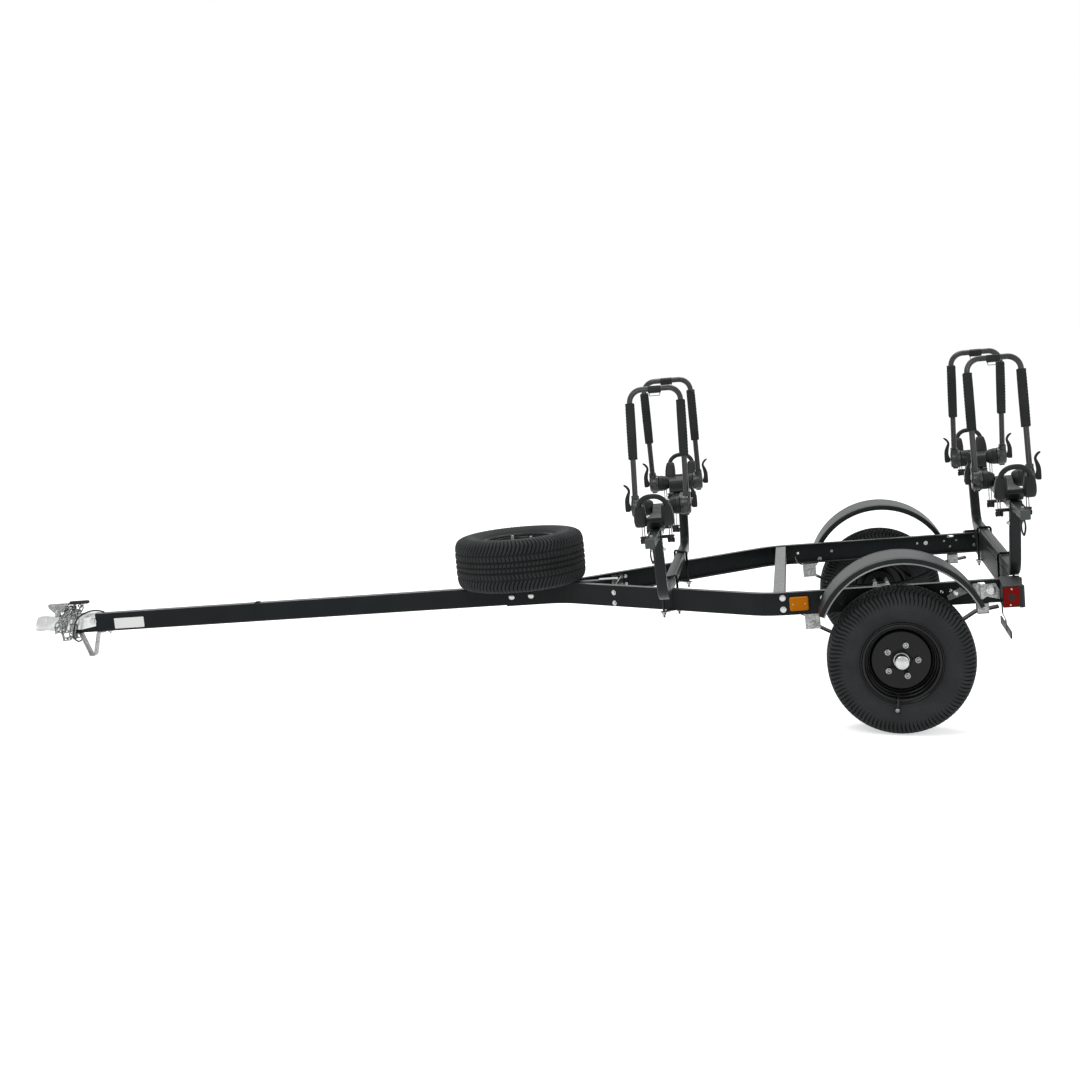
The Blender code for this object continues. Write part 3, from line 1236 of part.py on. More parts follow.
def bar_clamp(name, bar_x, bar_z, side_name, sign):
    """U-bolt over a load bar, slantwise across the rail in front and square at the rear."""
    bm = bmesh.new()
    top = bar_z + BAR_SIZE / 2 + GAP + UROD_R
    if name == "front":
        middle = rail_y(bar_x) - RAIL_FLANGE / 2 * math.hypot(1, RAIL_SLOPE)
        legs = ((bar_x - UBOLT_REACH, sign * (middle + UBOLT_SKEW)), (bar_x + UBOLT_REACH, sign * (middle - UBOLT_SKEW)))
        under = RAIL_BOTTOM - GAP
    else:
        legs = ((bar_x - UBOLT_REACH, sign * REAR_UBOLT_Y), (bar_x + UBOLT_REACH, sign * REAR_UBOLT_Y))
        under = REAR_MEMBER_TOP - REAR_MEMBER_H - GAP
    low = under - STRAP_PLATE_T - 0.020
    (xa, ya), (xb, yb) = legs
    across = Vector((xb - xa, yb - ya, 0)).normalized()
    path = [(xa, ya, low), (xa, ya, top), (xb, yb, top), (xb, yb, low)]
    sweep(bm, rounded(path, UBOLT_BEND_R, 2), ring_section(UROD_R, 6), side=Vector((0, 0, 1)).cross(across))
    middle_point = Vector(((xa + xb) / 2, (ya + yb) / 2, 0))
    reach = Vector((xb - xa, yb - ya, 0)).length / 2 + 0.012
    wide = Vector((0, 0, 1)).cross(across) * 0.013
    outline = []
    for along, out in ((-reach, 1), (reach, 1), (reach, -1), (-reach, -1)):
        point = middle_point + across * along + wide * out
        outline.append((point.x, point.y))
    prism(bm, outline, "Z", under - STRAP_PLATE_T, under)
    for x, y in legs:
        hex_nut(bm, (x, y, under - STRAP_PLATE_T + WELD), (0, 0, -1), 0.017, 0.009)
    make(f"{name}_{side_name}_u_bolt", bm, "zinc", ZINC)


def safety_chain():
    """Chain wound on the coupler, each link turned a quarter from the last and bearing on it."""
    reach = CHAIN_STRAIGHT + 2 * CHAIN_LINK_R * math.cos(math.pi / 6)
    pitch = reach - 2 * CHAIN_WIRE_R * math.cos(math.pi / 4) + CHAIN_BEAR
    fine = [chain_point(k / 4000) for k in range(4001)]
    centres = [fine[0]]
    for point in fine:
        step = point - centres[-1]
        if step.length >= pitch:
            centres.append(centres[-1] + step.normalized() * pitch)
    bm = bmesh.new()
    for i, (here, there) in enumerate(zip(centres, centres[1:])):
        along = (there - here).normalized()
        centre = (here + there) / 2
        outward = Vector((0, centre.y, centre.z - CHAIN_Z)).normalized()
        across = along.cross(outward).normalized()
        outward = across.cross(along).normalized()
        flat = across + outward * (1 if i % 2 else -1)
        chain_link(bm, centre, along, flat.normalized(), CHAIN_STRAIGHT, CHAIN_LINK_R, CHAIN_WIRE_R)
    print("chain links", len(centres) - 1)
    make("safety_chain", bm, "zinc", ZINC)


def build():
    for side_name, sign in (("left", -1), ("right", 1)):
        rail(side_name, sign)
        wheel(side_name, sign)
        fender(side_name, sign)
        lights(side_name, sign)
        leaf_spring(side_name, sign)
        spring_clamp(side_name, sign)
    tongue()
    front_brace()
    cross_members()
    axle()
    spare_wheel()
    for name, bar_x, bar_z in BARS:
        load_bar(name, bar_x, bar_z)
        crossbar(name, bar_x, bar_z)
        for side_name, sign in (("left", -1), ("right", 1)):
            bar_clamp(name, bar_x, bar_z, side_name, sign)
            cradle = name + "_" + side_name
            cradle_base(cradle, sign, bar_x, bar_z + CROSSBAR_RISE)
            cradle_arm(cradle, sign, bar_x, bar_z + CROSSBAR_RISE)
    plate_bracket()
    coupler()
    coupler_lever()
    tongue_stand()
    safety_chain()
    wiring_lead()


def stand_on_ground():
    """Move the chassis so that the ground is Z = 0 and the outline is centred in X and Y."""
    bpy.context.view_layer.update()
    graph = bpy.context.evaluated_depsgraph_get()
    low = Vector((1e9, 1e9, 1e9))
    high = -low
    for obj in bpy.context.scene.objects:
        if obj.type not in {"MESH", "CURVE"} or obj.hide_render or obj.name.startswith("wiring_"):
            continue
        mesh = obj.evaluated_get(graph).to_mesh()
        for vert in mesh.vertices:
            point = obj.matrix_world @ vert.co
            low = Vector(map(min, low, point))
            high = Vector(map(max, high, point))
    chassis.location = (-(low.x + high.x) / 2, -(low.y + high.y) / 2, -low.z)
    bpy.context.view_layer.update()
    print("size", [round(v, 4) for v in high - low], "tilt", round(math.degrees(TILT), 3), "at", [round(v, 4) for v in chassis.location])


build()
stand_on_ground()
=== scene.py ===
"""Kayak trailer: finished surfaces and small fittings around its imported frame.

Shapes are worked out in the chassis frame (X to the rear, Y to the right, Z up, origin at
the middle of the axle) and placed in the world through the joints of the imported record.
"""
import json
import math

import bmesh
import bpy
import numpy as np
from bpy.props import FloatProperty, FloatVectorProperty, IntProperty, PointerProperty
from mathutils import Matrix, Vector


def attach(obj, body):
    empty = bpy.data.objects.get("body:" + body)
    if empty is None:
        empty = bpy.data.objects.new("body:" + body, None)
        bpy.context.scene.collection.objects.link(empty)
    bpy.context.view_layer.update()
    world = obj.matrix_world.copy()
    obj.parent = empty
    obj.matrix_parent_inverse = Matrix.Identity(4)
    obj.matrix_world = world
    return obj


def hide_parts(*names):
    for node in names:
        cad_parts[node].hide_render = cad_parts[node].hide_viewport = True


bl_info = {
    "name": "Kayak trailer",
    "version": (1, 0, 0),
    "blender": (4, 5, 0),
    "location": "View3D > Sidebar > Trailer",
    "description": "Builds the finished pieces of a two-kayak trailer around its frame",
    "category": "Add Mesh",
}

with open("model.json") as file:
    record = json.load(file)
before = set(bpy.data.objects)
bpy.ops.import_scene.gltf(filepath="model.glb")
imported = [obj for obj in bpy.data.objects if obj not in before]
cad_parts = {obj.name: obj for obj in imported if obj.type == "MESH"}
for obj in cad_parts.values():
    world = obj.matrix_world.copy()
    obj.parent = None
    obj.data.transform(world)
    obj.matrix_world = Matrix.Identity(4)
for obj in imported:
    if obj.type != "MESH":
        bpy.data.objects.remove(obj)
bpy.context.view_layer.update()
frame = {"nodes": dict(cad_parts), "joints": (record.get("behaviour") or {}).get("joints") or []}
JOINTS = {joint["name"]: joint for joint in frame["joints"]}

# Chassis frame in the world
LEFT_HUB = np.array(JOINTS["left_wheel_spin"]["pos_m"])
RIGHT_HUB = np.array(JOINTS["right_wheel_spin"]["pos_m"])
AXLE_CENTRE = (LEFT_HUB + RIGHT_HUB) / 2
REARWARD = np.array(JOINTS["front_left_arm_fold"]["axis"], float)
SIDEWAYS = np.array((0.0, 1.0, 0.0))
UPWARD = np.cross(REARWARD, SIDEWAYS)
CHASSIS_AXES = np.array((REARWARD, SIDEWAYS, UPWARD))
TRACK_HALF = float(RIGHT_HUB[1])
X, Y, Z = np.eye(3)
ENDS = (-1, 1)

# Sizes shared with the frame, in metres
GAP = 0.0003
TYRE_W = 0.205
DISC_FACE = 0.030
LUG_CIRCLE_R = 0.05715
RAIL_T = 0.003
RAIL_FLANGE = 0.024
RAIL_OUTER_Y = 0.604
RAIL_BOTTOM = 0.1536
RAIL_TOP = 0.2364
RAIL_BEND_FRONT_X = -1.290
RAIL_BEND_REAR_X = -0.460
RAIL_START_Y = 0.0287
RAIL_SLOPE = (RAIL_OUTER_Y - RAIL_START_Y) / (RAIL_BEND_REAR_X - RAIL_BEND_FRONT_X)
TONGUE_TOP = 0.2331
TONGUE_BOTTOM = 0.1569
TONGUE_HALF_W = 0.0254
STAND_X = -3.331
STAND_DEPTH = 0.104
STAND_T = 0.0055
FRAME_Z = 0.195
AXLE_SIZE = 0.038
SPRING_Y = 0.579
SPRING_W = 0.045
SPRING_TOP_Z = 0.0433
UROD_R = 0.00475
EYE_X = -0.2973
EYE_Z = 0.1194
BOX_X = (0.2856, 0.3264)
REAR_MEMBER_BOTTOM = 0.1569
REAR_CLAMP_Y = 0.351
CLAMP_LEG_X = 0.0268
CLAMP_PLATE_T = 0.004
UROD_SLACK = 0.0008
BAR_SIZE = 0.0381
BARS = {"front": (-0.828, 0.25575), "rear": (0.420, 0.26555)}
BAR_CORNER_Y = 0.636
POST_LEAN = math.radians(20.0)
CROSSBAR_RISE = 0.249
CROSSBAR_SIZE = 0.03175
CROSSBAR_HALF = 0.996
LOOP_Y = 0.930
FENDER_R = 0.307
FENDER_X = 0.007
FENDER_Z = 0.068
FENDER_MID_Y = 0.7465
FENDER_HALF_W = 0.1145
FENDER_HALF_ARC = math.radians(66.5)
HINGE_Y = 0.415
HINGE_RISE = 0.058
KNUCKLE_R = 0.036
KNUCKLE_X = 0.1115
HUB_DISC_X = 0.0730
LEG_HALF = 0.0965
ARM_TUBE_R = 0.0095
ARM_LEN = 0.452
ARM_TOP_R = 0.048
ARM_LEAN = math.radians(14.0)
ARM_UP = np.array((0.0, -math.sin(ARM_LEAN), math.cos(ARM_LEAN)))
ARM_SIDE = np.cross(ARM_UP, X)
PAD_LOW = 0.186
PAD_LEN = 0.212
PAD_W = 0.035
LOW_ARCH_LEAN = math.radians(25.0)
POST_TOP_Y = BAR_CORNER_Y + CROSSBAR_RISE * math.tan(POST_LEAN)
LOW_ARCH_Y = 0.742
LOW_ARCH_HALF = 0.0505
LOW_ARCH_TOP = 0.128
LOW_ARCH_TUBE_R = 0.0092
LEVER_OFFSET = 0.1245
SPINE_HALF = 0.030
CLAMP_Y = (0.422, 0.684)
CLAMP_HALF = 0.062
CLAMP_T = 0.006
CLAMP_BOLT_X = 0.049
KNOB_TURN = (math.cos(0.35), math.sin(0.35), 0.0)
LATCH_PIVOT = np.array((-3.470, 0.0, 0.2520))
LATCH_RISE = 0.032
SIDES = {"left": -1.0, "right": 1.0}

# Spare wheel: a little larger than the solid, turned so that two long studs show in its opening
SPARE_CENTRE = np.array((-1.4535, 0.0, RAIL_TOP + 0.004 + TYRE_W / 2))
SPARE_SWELL = (1.02, 1.02, 1.03)
SPARE_SPIN = (0.9466, -0.3223, 0.0)
SPARE_STUD = 0.0605

# Smallest corner angle that a bevel rounds
BEVEL_FROM = math.radians(40)

# Frame bolt (width, head, washer), side marker (X and Z of its middle, length and height), steps of curves
FRAME_BOLT = (0.0125, 0.005, 0.0014)
MARKER_AT = (-0.342, FRAME_Z)
MARKER_SIZE = (0.052, 0.071)
NUT_POINTS = 48
ARC_STEPS = 97
TYRE_STEPS = 240

# Grooves round a tyre: distance from the crown, width and share of the depth
TREAD_GROOVES = ((0.0, 0.0036, 1.0), (0.021, 0.0036, 1.0), (0.048, 0.0032, 0.75))

# Valve: its turn from the first stud, and its route away from the axle and out along it
VALVE_TURN = math.radians(-100)
VALVE_ROUTE = np.array((
    (0.1215, 0.059), (0.122, 0.08), (0.13, 0.096), (0.148, 0.0985), (0.157, 0.1015), (0.16, 0.105)))

# Safety chains: name, lay (turns, start, stretch, outward) and what else differs; and the wiring lead
CHAIN_WIRE_R = 0.0027
CHAIN_LINK_R = 0.0075
CHAIN_STRAIGHT = 0.0170
CHAIN_PITCH = 0.0266
CHAIN_RAKE = 0.25
CHAIN_HALF_W = 0.0440
CHAIN_HALF_H = 0.0590
CHAIN_Z = 0.1895
CHAIN_POWER = 0.42
FRONT_LOOPS = {"rake": 0.60, "middle": 0.2150, "half_h": 0.0480}
CHAINS = (
    ("safety_chain_links", (1.60, 0.8, (-3.452, -3.372), 0.0), {}),
    ("second_chain_links", (1.42, 5.6, (-3.462, -3.432), 0.0020), FRONT_LOOPS),
    ("third_chain_links", (1.12, 5.7, (-3.424, -3.376), -0.0030), {}),
    ("fourth_chain_links", (1.30, 6.0, (-3.440, -3.398), 0.0045), FRONT_LOOPS),
)
WIRE_R = 0.0035
WIRE_ROUTE = np.array((
    (-3.258, -0.006, TONGUE_TOP + WIRE_R + GAP), (-3.285, -0.016, 0.2470), (-3.318, -0.040, 0.2470),
    (-3.352, -0.064, 0.2280), (-3.372, -0.069, 0.1900), (-3.382, -0.062, 0.1480), (-3.380, -0.034, 0.1240),
    (-3.384, 0.012, 0.1200), (-3.390, 0.048, 0.1350), (-3.398, 0.0680, 0.1600), (-3.400, 0.0700, 0.1950),
))

# Camera, fitted to the photograph in the chassis frame
CAMERA_AT = np.array((-0.2894, -6.7032, 1.3027))
CAMERA_YAW = math.radians(9.125)
CAMERA_PITCH = math.radians(7.469)
CAMERA_ROLL = math.radians(-5.226)
CAMERA_SENSOR = 36.0
CAMERA_LENS = CAMERA_SENSOR * 1687.4 / 1080
CAMERA_REACH = 200.0

# Lamps: name, place, size across and power
LAMPS = (
    ("key_lamp", (-1.5, -4.6, 5.5), 4.0, 150.0),
    ("fill_lamp", (5.0, -4.0, 3.0), 4.0, 50.0),
    ("top_lamp", (0.5, 2.0, 6.0), 4.0, 180.0),
)
LAMP_TARGET = Vector((0.4, 0.0, 0.5))
WHITE = (1.0, 1.0, 1.0, 1.0)
WORLD_LIGHT = 0.50
FLOOR_PAINT = (0.92, 0.92, 0.92, 1.0)
FLOOR_GLOW = 0.58

# Nodes of the frame that show as they are
FRAME_FINISHES = {
    # Tongue and rails take the coat with a painted highlight on their up-facing faces.
    "tongue_tube": "top_lit_coat", "left_rail": "top_lit_coat", "right_rail": "top_lit_coat", "axle": "satin_coat",
    "left_leaf_spring": "satin_coat", "right_leaf_spring": "satin_coat", "rear_cross_member": "satin_coat",
    "licence_plate_bracket": "satin_coat", "middle_cross_member": "galvanised", "front_brace": "bright_zinc",
}


# Points and faces

def unit(vectors):
    """A vector, or each row of an array, at length one."""
    vectors = np.asarray(vectors, float)
    return vectors / np.linalg.norm(vectors, axis=-1, keepdims=True)


def merged(*parts):
    """Several shells as one list of points and faces."""
    points, faces, start = [], [], 0
    for part_points, part_faces in parts:
        points.append(part_points)
        faces += [[start + i for i in face] for face in part_faces]
        start += len(part_points)
    return np.concatenate(points), faces


def grid(points, around=False, along=False, caps=False):
    """Quads over (m, n) points; around closes n, along closes m, caps close the first and last rows."""
    m, n = points.shape[:2]
    i = np.arange(m if along else m - 1)[:, None]
    j = np.arange(n if around else n - 1)[None, :]
    here, there, after = i * n, ((i + 1) % m) * n, (j + 1) % n
    faces = np.stack([here + j, here + after, there + after, there + j], -1).reshape(-1, 4).tolist()
    if caps:
        faces += [list(range(n)), list(range((m - 1) * n, m * n))]
    return points.reshape(-1, 3), faces


def turned(profile, segments=32, closed=False):
    """(along, radius) pairs turned about +Z. A closed profile makes a ring; an open one gets flat ends."""
    profile = np.asarray(profile, float)
    angle = np.linspace(0, 2 * np.pi, segments, endpoint=False)
    points = np.stack(np.broadcast_arrays(
        profile[:, 1:] * np.cos(angle), profile[:, 1:] * np.sin(angle), profile[:, :1]), -1)
    return grid(points, around=True, along=closed, caps=not closed)


def aim(part, origin, direction, spin=X):
    """Stand a part built along +Z at an origin, along a direction, its +X towards spin."""
    z = unit(direction)
    x = np.asarray(spin, float) - z * np.dot(spin, z)
    x = unit(x if np.linalg.norm(x) > 1e-6 else np.cross(Y, z))
    points, faces = part
    return points @ np.array((x, np.cross(z, x), z)) + np.asarray(origin, float), faces


def copies(part, places, direction):
    """The same part stood at several places, along one direction."""
    return [aim(part, place, direction) for place in places]


def moved(part, offset=(0.0, 0.0, 0.0), scale=(1.0, 1.0, 1.0)):
    """Scale about the origin, then shift."""
    points, faces = part
    return points * np.asarray(scale, float) + np.asarray(offset, float), faces


def slab(outline, axis, low, high):
    """A closed outline pushed along an axis; the outline's two numbers are the other axes in order."""
    outline = np.asarray(outline, float)
    rows = [np.insert(outline, "XYZ".index(axis), value, axis=1) for value in sorted((low, high))]
    return grid(np.array(rows), around=True, caps=True)


def block(x, y, z):
    """A box between pairs of x, y and z."""
    return slab([(x[0], y[0]), (x[1], y[0]), (x[1], y[1]), (x[0], y[1])], "Z", z[0], z[1])


def about(middle, half):
    """The pair of numbers a half width either side of a middle."""
    return middle - half, middle + half


def ring(radius, sides=12, power=2.0):
    """Points of a circle, or with a higher power of a rounded square."""
    angle = 2 * np.pi * (np.arange(sides) + 0.5) / sides
    c, s = np.cos(angle), np.sin(angle)
    size = radius * (np.abs(c) ** power + np.abs(s) ** power) ** (-1 / power)
    return np.stack([size * c, size * s], -1)


def rounded_rect(width, height, corner, steps=4):
    """A rectangle whose corners are quarter circles."""
    w, h = width / 2 - corner, height / 2 - corner
    turn = np.linspace(0, np.pi / 2, steps + 1)
    corners = []
    for k, (cx, cy) in enumerate(((w, h), (-w, h), (-w, -h), (w, -h))):
        angle = turn + k * np.pi / 2
        corners.append(np.stack([cx + corner * np.cos(angle), cy + corner * np.sin(angle)], -1))
    return np.concatenate(corners)


def fillet(path, radius, steps=6):
    """Replace each inner corner of a path by an arc of the given radius."""
    path = np.asarray(path, float)
    t = np.linspace(0, 1, steps + 1)[:, None]
    result = [path[:1]]
    for before, corner, after in zip(path, path[1:], path[2:]):
        a, b = unit(before - corner), unit(after - corner)
        half = math.acos(float(np.clip(a @ b, -1, 1))) / 2
        centre = corner + unit(a + b) * radius / math.sin(half)
        first, second = (corner + k * radius / math.tan(half) - centre for k in (a, b))
        whole = math.pi - 2 * half
        arc = first * np.sin((1 - t) * whole) + second * np.sin(t * whole)
        result.append(centre + arc / math.sin(whole))
    result.append(path[-1:])
    return np.concatenate(result)


def arc_length(points):
    """Distance along a line of points, from its first."""
    return np.concatenate([[0.0], np.cumsum(np.linalg.norm(np.diff(points, axis=0), axis=1))])


def smooth(points, count, closed=False):
    """Catmull-Rom curve through points, resampled to equal lengths."""
    p = np.asarray(points, float)
    if closed:
        p = np.concatenate([p[-1:], p, p[:2]])
    else:
        p = np.concatenate([2 * p[:1] - p[1:2], p, 2 * p[-1:] - p[-2:-1]])
    t = np.linspace(0, 1, 24, endpoint=False)[None, :, None]
    a, b, c, d = (q[:, None, :] for q in (p[:-3], p[1:-2], p[2:-1], p[3:]))
    dense = 0.5 * (2 * b + (c - a) * t + (2 * a - 5 * b + 4 * c - d) * t ** 2
                   + (3 * b - a - 3 * c + d) * t ** 3)
    dense = np.concatenate([dense.reshape(-1, p.shape[1]), p[-2:-1]])
    length = arc_length(dense)
    where = np.linspace(0, length[-1], count, endpoint=not closed)
    return np.stack([np.interp(where, length, dense[:, k]) for k in range(p.shape[1])], -1)


def tube(path, section, side=None, closed=False, scale=1.0):
    """Carry a section along a path, its first axis held to side, or else turned as little as it can be."""
    path, section = np.asarray(path, float), np.asarray(section, float)
    if closed:
        tangent = unit(np.roll(path, -1, 0) - np.roll(path, 1, 0))
    else:
        step = unit(np.diff(path, axis=0))
        tangent = unit(np.concatenate([step[:1], step[1:] + step[:-1], step[-1:]]))
    if side is None:
        first = np.cross(Z, tangent[0])
        sides = [unit(first if np.linalg.norm(first) > 0.1 else np.cross(X, tangent[0]))]
        for direction in tangent[1:]:
            sides.append(unit(sides[-1] - direction * (sides[-1] @ direction)))
        sides = np.array(sides)
    else:
        sides = np.broadcast_to(unit(side), path.shape)
    ups = np.cross(tangent, sides)
    size = np.broadcast_to(np.asarray(scale, float), len(path))[:, None, None]
    spread = sides[:, None] * section[None, :, :1] + ups[:, None] * section[None, :, 1:]
    return grid(path[:, None] + size * spread, around=True, along=closed, caps=not closed)


def stepped(start, direction, section, steps, side):
    """A section carried along a direction through (distance, scale) steps."""
    steps = np.asarray(steps, float)
    path = np.asarray(start, float) + steps[:, :1] * np.asarray(direction, float)
    return tube(path, section, side=side, scale=steps[:, 1])


def rod(start, end, radius, sides=12):
    """A straight round bar."""
    return tube([start, end], ring(radius, sides))


def hex_nut(across, height, chamfer=0.15, bore=0.0):
    """A hexagon along +Z whose corners are turned off: radius is the lesser of hexagon and cone.

    With a bore the top sinks again inside it, so a stud stands in a dark ring.
    """
    angle = np.linspace(0, 2 * np.pi, NUT_POINTS, endpoint=False)
    flat = across / 2 / np.cos((angle + np.pi / 6) % (np.pi / 3) - np.pi / 6)
    level = np.array((0.0, chamfer, 1 - chamfer, 1.0)) * height
    cone = across / 2 * np.array((1.02, 1.16, 1.16, 1.02))
    radius = np.minimum(flat[None, :], cone[:, None])
    if bore:
        level = np.concatenate([level, [height, height * 0.55]])
        radius = np.concatenate([radius, np.full((2, NUT_POINTS), bore)])
    level = np.broadcast_to(level[:, None], radius.shape)
    return grid(np.stack([radius * np.cos(angle), radius * np.sin(angle), level], -1), around=True, caps=True)


def bolt_end(radius, length, pitch=0.00125):
    """A threaded stud along +Z: the radius swings with height once each pitch."""
    turns = max(2, round(length / pitch))
    level = np.linspace(0, length, turns * 2 + 1)
    swing = np.where(np.arange(len(level)) % 2, radius, radius * 0.87)
    swing[-1] = radius * 0.8
    return turned(np.stack([level, swing], -1), 12)


def hex_bolt(across=0.013, head=0.0055, washer=0.0):
    """A hexagon head, with a washer under it where one is asked for."""
    parts = [moved(hex_nut(across, head), (0, 0, washer))]
    if washer:
        parts.append(turned([(0, across * 0.9), (washer * 0.9, across * 0.9), (washer, across * 0.86)], 24))
    return merged(*parts)


def carriage_head(radius=0.0095, height=0.0038):
    """A domed head: a quarter ellipse of the height over the radius, turned about +Z."""
    t = np.linspace(0, 1, 7)
    profile = np.stack([height * np.sin(t * np.pi / 2), radius * np.cos(t * np.pi / 2) + 1e-5], -1)
    return turned(np.concatenate([[(-0.0005, radius * 0.98)], profile]), 24)


# Materials

def node(tree, kind, inputs=None, **settings):
    """Add a shader node, set its settings, and fill its inputs with values or with other nodes' outputs."""
    made = tree.nodes.new("ShaderNode" + kind)
    for name, value in settings.items():
        setattr(made, name, value)
    for key, value in (inputs or {}).items():
        if isinstance(value, bpy.types.NodeSocket):
            tree.links.new(value, made.inputs[key])
        else:
            made.inputs[key].default_value = value
    return made


def math_node(tree, operation, a, b):
    """The result of one sum on two values."""
    return node(tree, "Math", {0: a, 1: b}, operation=operation).outputs["Value"]


def seen_by(tree, first, *others):
    """One where a ray is of any of the named kinds."""
    rays = node(tree, "LightPath").outputs
    total = rays[first]
    for kind in others:
        total = math_node(tree, "ADD", total, rays[kind])
    return total


def mapped(tree, value, low, high, start=0.0, end=1.0):
    """A value carried from between low and high to between start and end."""
    ends = {"Value": value, "From Min": low, "From Max": high, "To Min": start, "To Max": end}
    return node(tree, "MapRange", ends).outputs["Result"]


def blended(tree, factor, low, high):
    """Two colours mixed by a factor."""
    return node(tree, "Mix", {0: factor, 6: low, 7: high}, data_type="RGBA").outputs[2]


def texture(tree, kind, place, scale, output="Fac", **settings):
    """One output of a texture; detail is the only other input it may need."""
    inputs = {"Vector": place, "Scale": scale}
    if "detail" in settings:
        inputs["Detail"] = settings.pop("detail")
    return node(tree, kind, inputs, **settings).outputs[output]


def shared_group(name, inputs):
    """A node group with named inputs, colours for tuples: (tree, its inputs, the place on the object)."""
    tree = bpy.data.node_groups.new(name, "ShaderNodeTree")
    for label, value in inputs.items():
        kind = "NodeSocketColor" if isinstance(value, tuple) else "NodeSocketFloat"
        tree.interface.new_socket(name=label, in_out="INPUT", socket_type=kind).default_value = value
    return tree, tree.nodes.new("NodeGroupInput").outputs, node(tree, "TexCoord").outputs["Object"]


def closed_group(tree, **results):
    """The group with its outputs named and fed."""
    end = tree.nodes.new("NodeGroupOutput")
    for label, source in results.items():
        kind = {"Colour": "Color", "Roughness": "Float", "Normal": "Vector"}[label]
        tree.interface.new_socket(name=label, in_out="OUTPUT", socket_type="NodeSocket" + kind)
        tree.links.new(source, end.inputs[label])
    return tree


def bumped(tree, height, distance, strength=1.0):
    """The normal of a surface raised by a height."""
    inputs = {"Height": height, "Distance": distance, "Strength": strength}
    return node(tree, "Bump", inputs).outputs["Normal"]


def surface_group():
    """Broad noise moves the colour, fine noise roughness and height; edges go paler, partly as wear and
    partly as painted highlight; up-facing faces take a painted highlight on top.
    """
    tree, given, place = shared_group("uneven_finish_and_painted_light", {
        "Dark": (0.01, 0.01, 0.01, 1.0), "Light": (0.02, 0.02, 0.02, 1.0), "Broad Scale": 9.0,
        "Fine Scale": 900.0, "Rough Low": 0.3, "Rough High": 0.4, "Height": 0.0001,
        "Edge": (0.06, 0.06, 0.06, 1.0), "Edge Width": 0.0012, "Painted Top Light": (0.11, 0.114, 0.115, 1.0),
        "Dust Share": 0.0,
    })
    broad = texture(tree, "TexNoise", place, given["Broad Scale"], detail=5.0)
    fine = texture(tree, "TexNoise", place, given["Fine Scale"], detail=3.0)
    plain = node(tree, "NewGeometry").outputs["Normal"]
    rounded = node(tree, "Bevel", {"Radius": given["Edge Width"]}, samples=4).outputs["Normal"]
    agree = node(tree, "VectorMath", {0: rounded, 1: plain}, operation="DOT_PRODUCT").outputs["Value"]
    # Paler edges found by the bevel: partly wear, partly a painted highlight along the edges.
    corner = mapped(tree, agree, 0.98, 0.80)
    # Painted top light: faces that look upwards mix towards a paler colour, a painted highlight of the light
    # falling on the tops.
    upright = node(tree, "SeparateXYZ", {0: plain}).outputs["Z"]
    level = mapped(tree, upright, 0.80, 0.99, 0.0, given["Dust Share"])
    tint = blended(tree, mapped(tree, broad, 0.3, 0.7), given["Dark"], given["Light"])
    tint = blended(tree, math_node(tree, "MULTIPLY", corner, broad), tint, given["Edge"])
    tint = blended(tree, math_node(tree, "MULTIPLY", level, broad), tint, given["Painted Top Light"])
    return closed_group(tree, Colour=tint, Normal=bumped(tree, fine, given["Height"], 0.7),
                        Roughness=mapped(tree, fine, 0.0, 1.0, given["Rough Low"], given["Rough High"]))


def spangle_group():
    """Zinc crystals: each cell of a Voronoi pattern has its own shade and roughness."""
    tree, given, place = shared_group("zinc_crystals", {
        "Dark": (0.4, 0.4, 0.4, 1.0), "Light": (0.7, 0.7, 0.7, 1.0), "Scale": 160.0, "Rough Low": 0.25,
        "Rough High": 0.45,
    })
    cells = texture(tree, "TexVoronoi", place, given["Scale"], "Color")
    cloud = texture(tree, "TexNoise", place, 28.0, detail=6.0)
    shade = node(tree, "SeparateColor", {"Color": cells}).outputs
    spread = mapped(tree, math_node(tree, "MULTIPLY", shade["Red"], cloud), 0.05, 0.50)
    rough = mapped(tree, shade["Green"], 0.0, 1.0, given["Rough Low"], given["Rough High"])
    return closed_group(tree, Colour=blended(tree, spread, given["Dark"], given["Light"]),
                        Roughness=rough, Normal=bumped(tree, cloud, 0.0004, 0.5))


def ribs_group():
    """Fine bands across a surface, for woven webbing and for the inside of a lens."""
    tree, given, place = shared_group("fine_ribs", {
        "Dark": (0.01, 0.01, 0.01, 1.0), "Light": (0.03, 0.03, 0.03, 1.0), "Scale": 160.0, "Height": 0.0004,
    })
    bands, cross = (texture(tree, "TexWave", place, given["Scale"], bands_direction=k) for k in "ZX")
    both = math_node(tree, "MULTIPLY", bands, cross)
    return closed_group(tree, Colour=blended(tree, both, given["Dark"], given["Light"]),
                        Normal=bumped(tree, both, given["Height"]))


def shades(colour, spread):
    """A darker and a lighter version of a colour."""
    return [tuple(min(1.0, c * k) for c in colour[:3]) + (1.0,) for k in (1 - spread, 1 + spread)]


LOOKS = {}


def finish(name, group, colour, spread, values, **shader_values):
    """Make and keep a Principled material fed by a shared group, from a darker and a lighter colour."""
    made = bpy.data.materials.new(name)
    made.use_nodes = True
    tree = made.node_tree
    shader = tree.nodes["Principled BSDF"]
    source = tree.nodes.new("ShaderNodeGroup")
    source.node_tree = group
    dark, light = shades(colour, spread)
    for key, value in {"Dark": dark, "Light": light, **values}.items():
        source.inputs[key].default_value = value
    for key, value in shader_values.items():
        shader.inputs[key.replace("_", " ")].default_value = value
    for key, socket in (("Colour", "Base Color"), ("Roughness", "Roughness"), ("Normal", "Normal")):
        if key in source.outputs:
            tree.links.new(source.outputs[key], shader.inputs[socket])
    LOOKS[name] = made


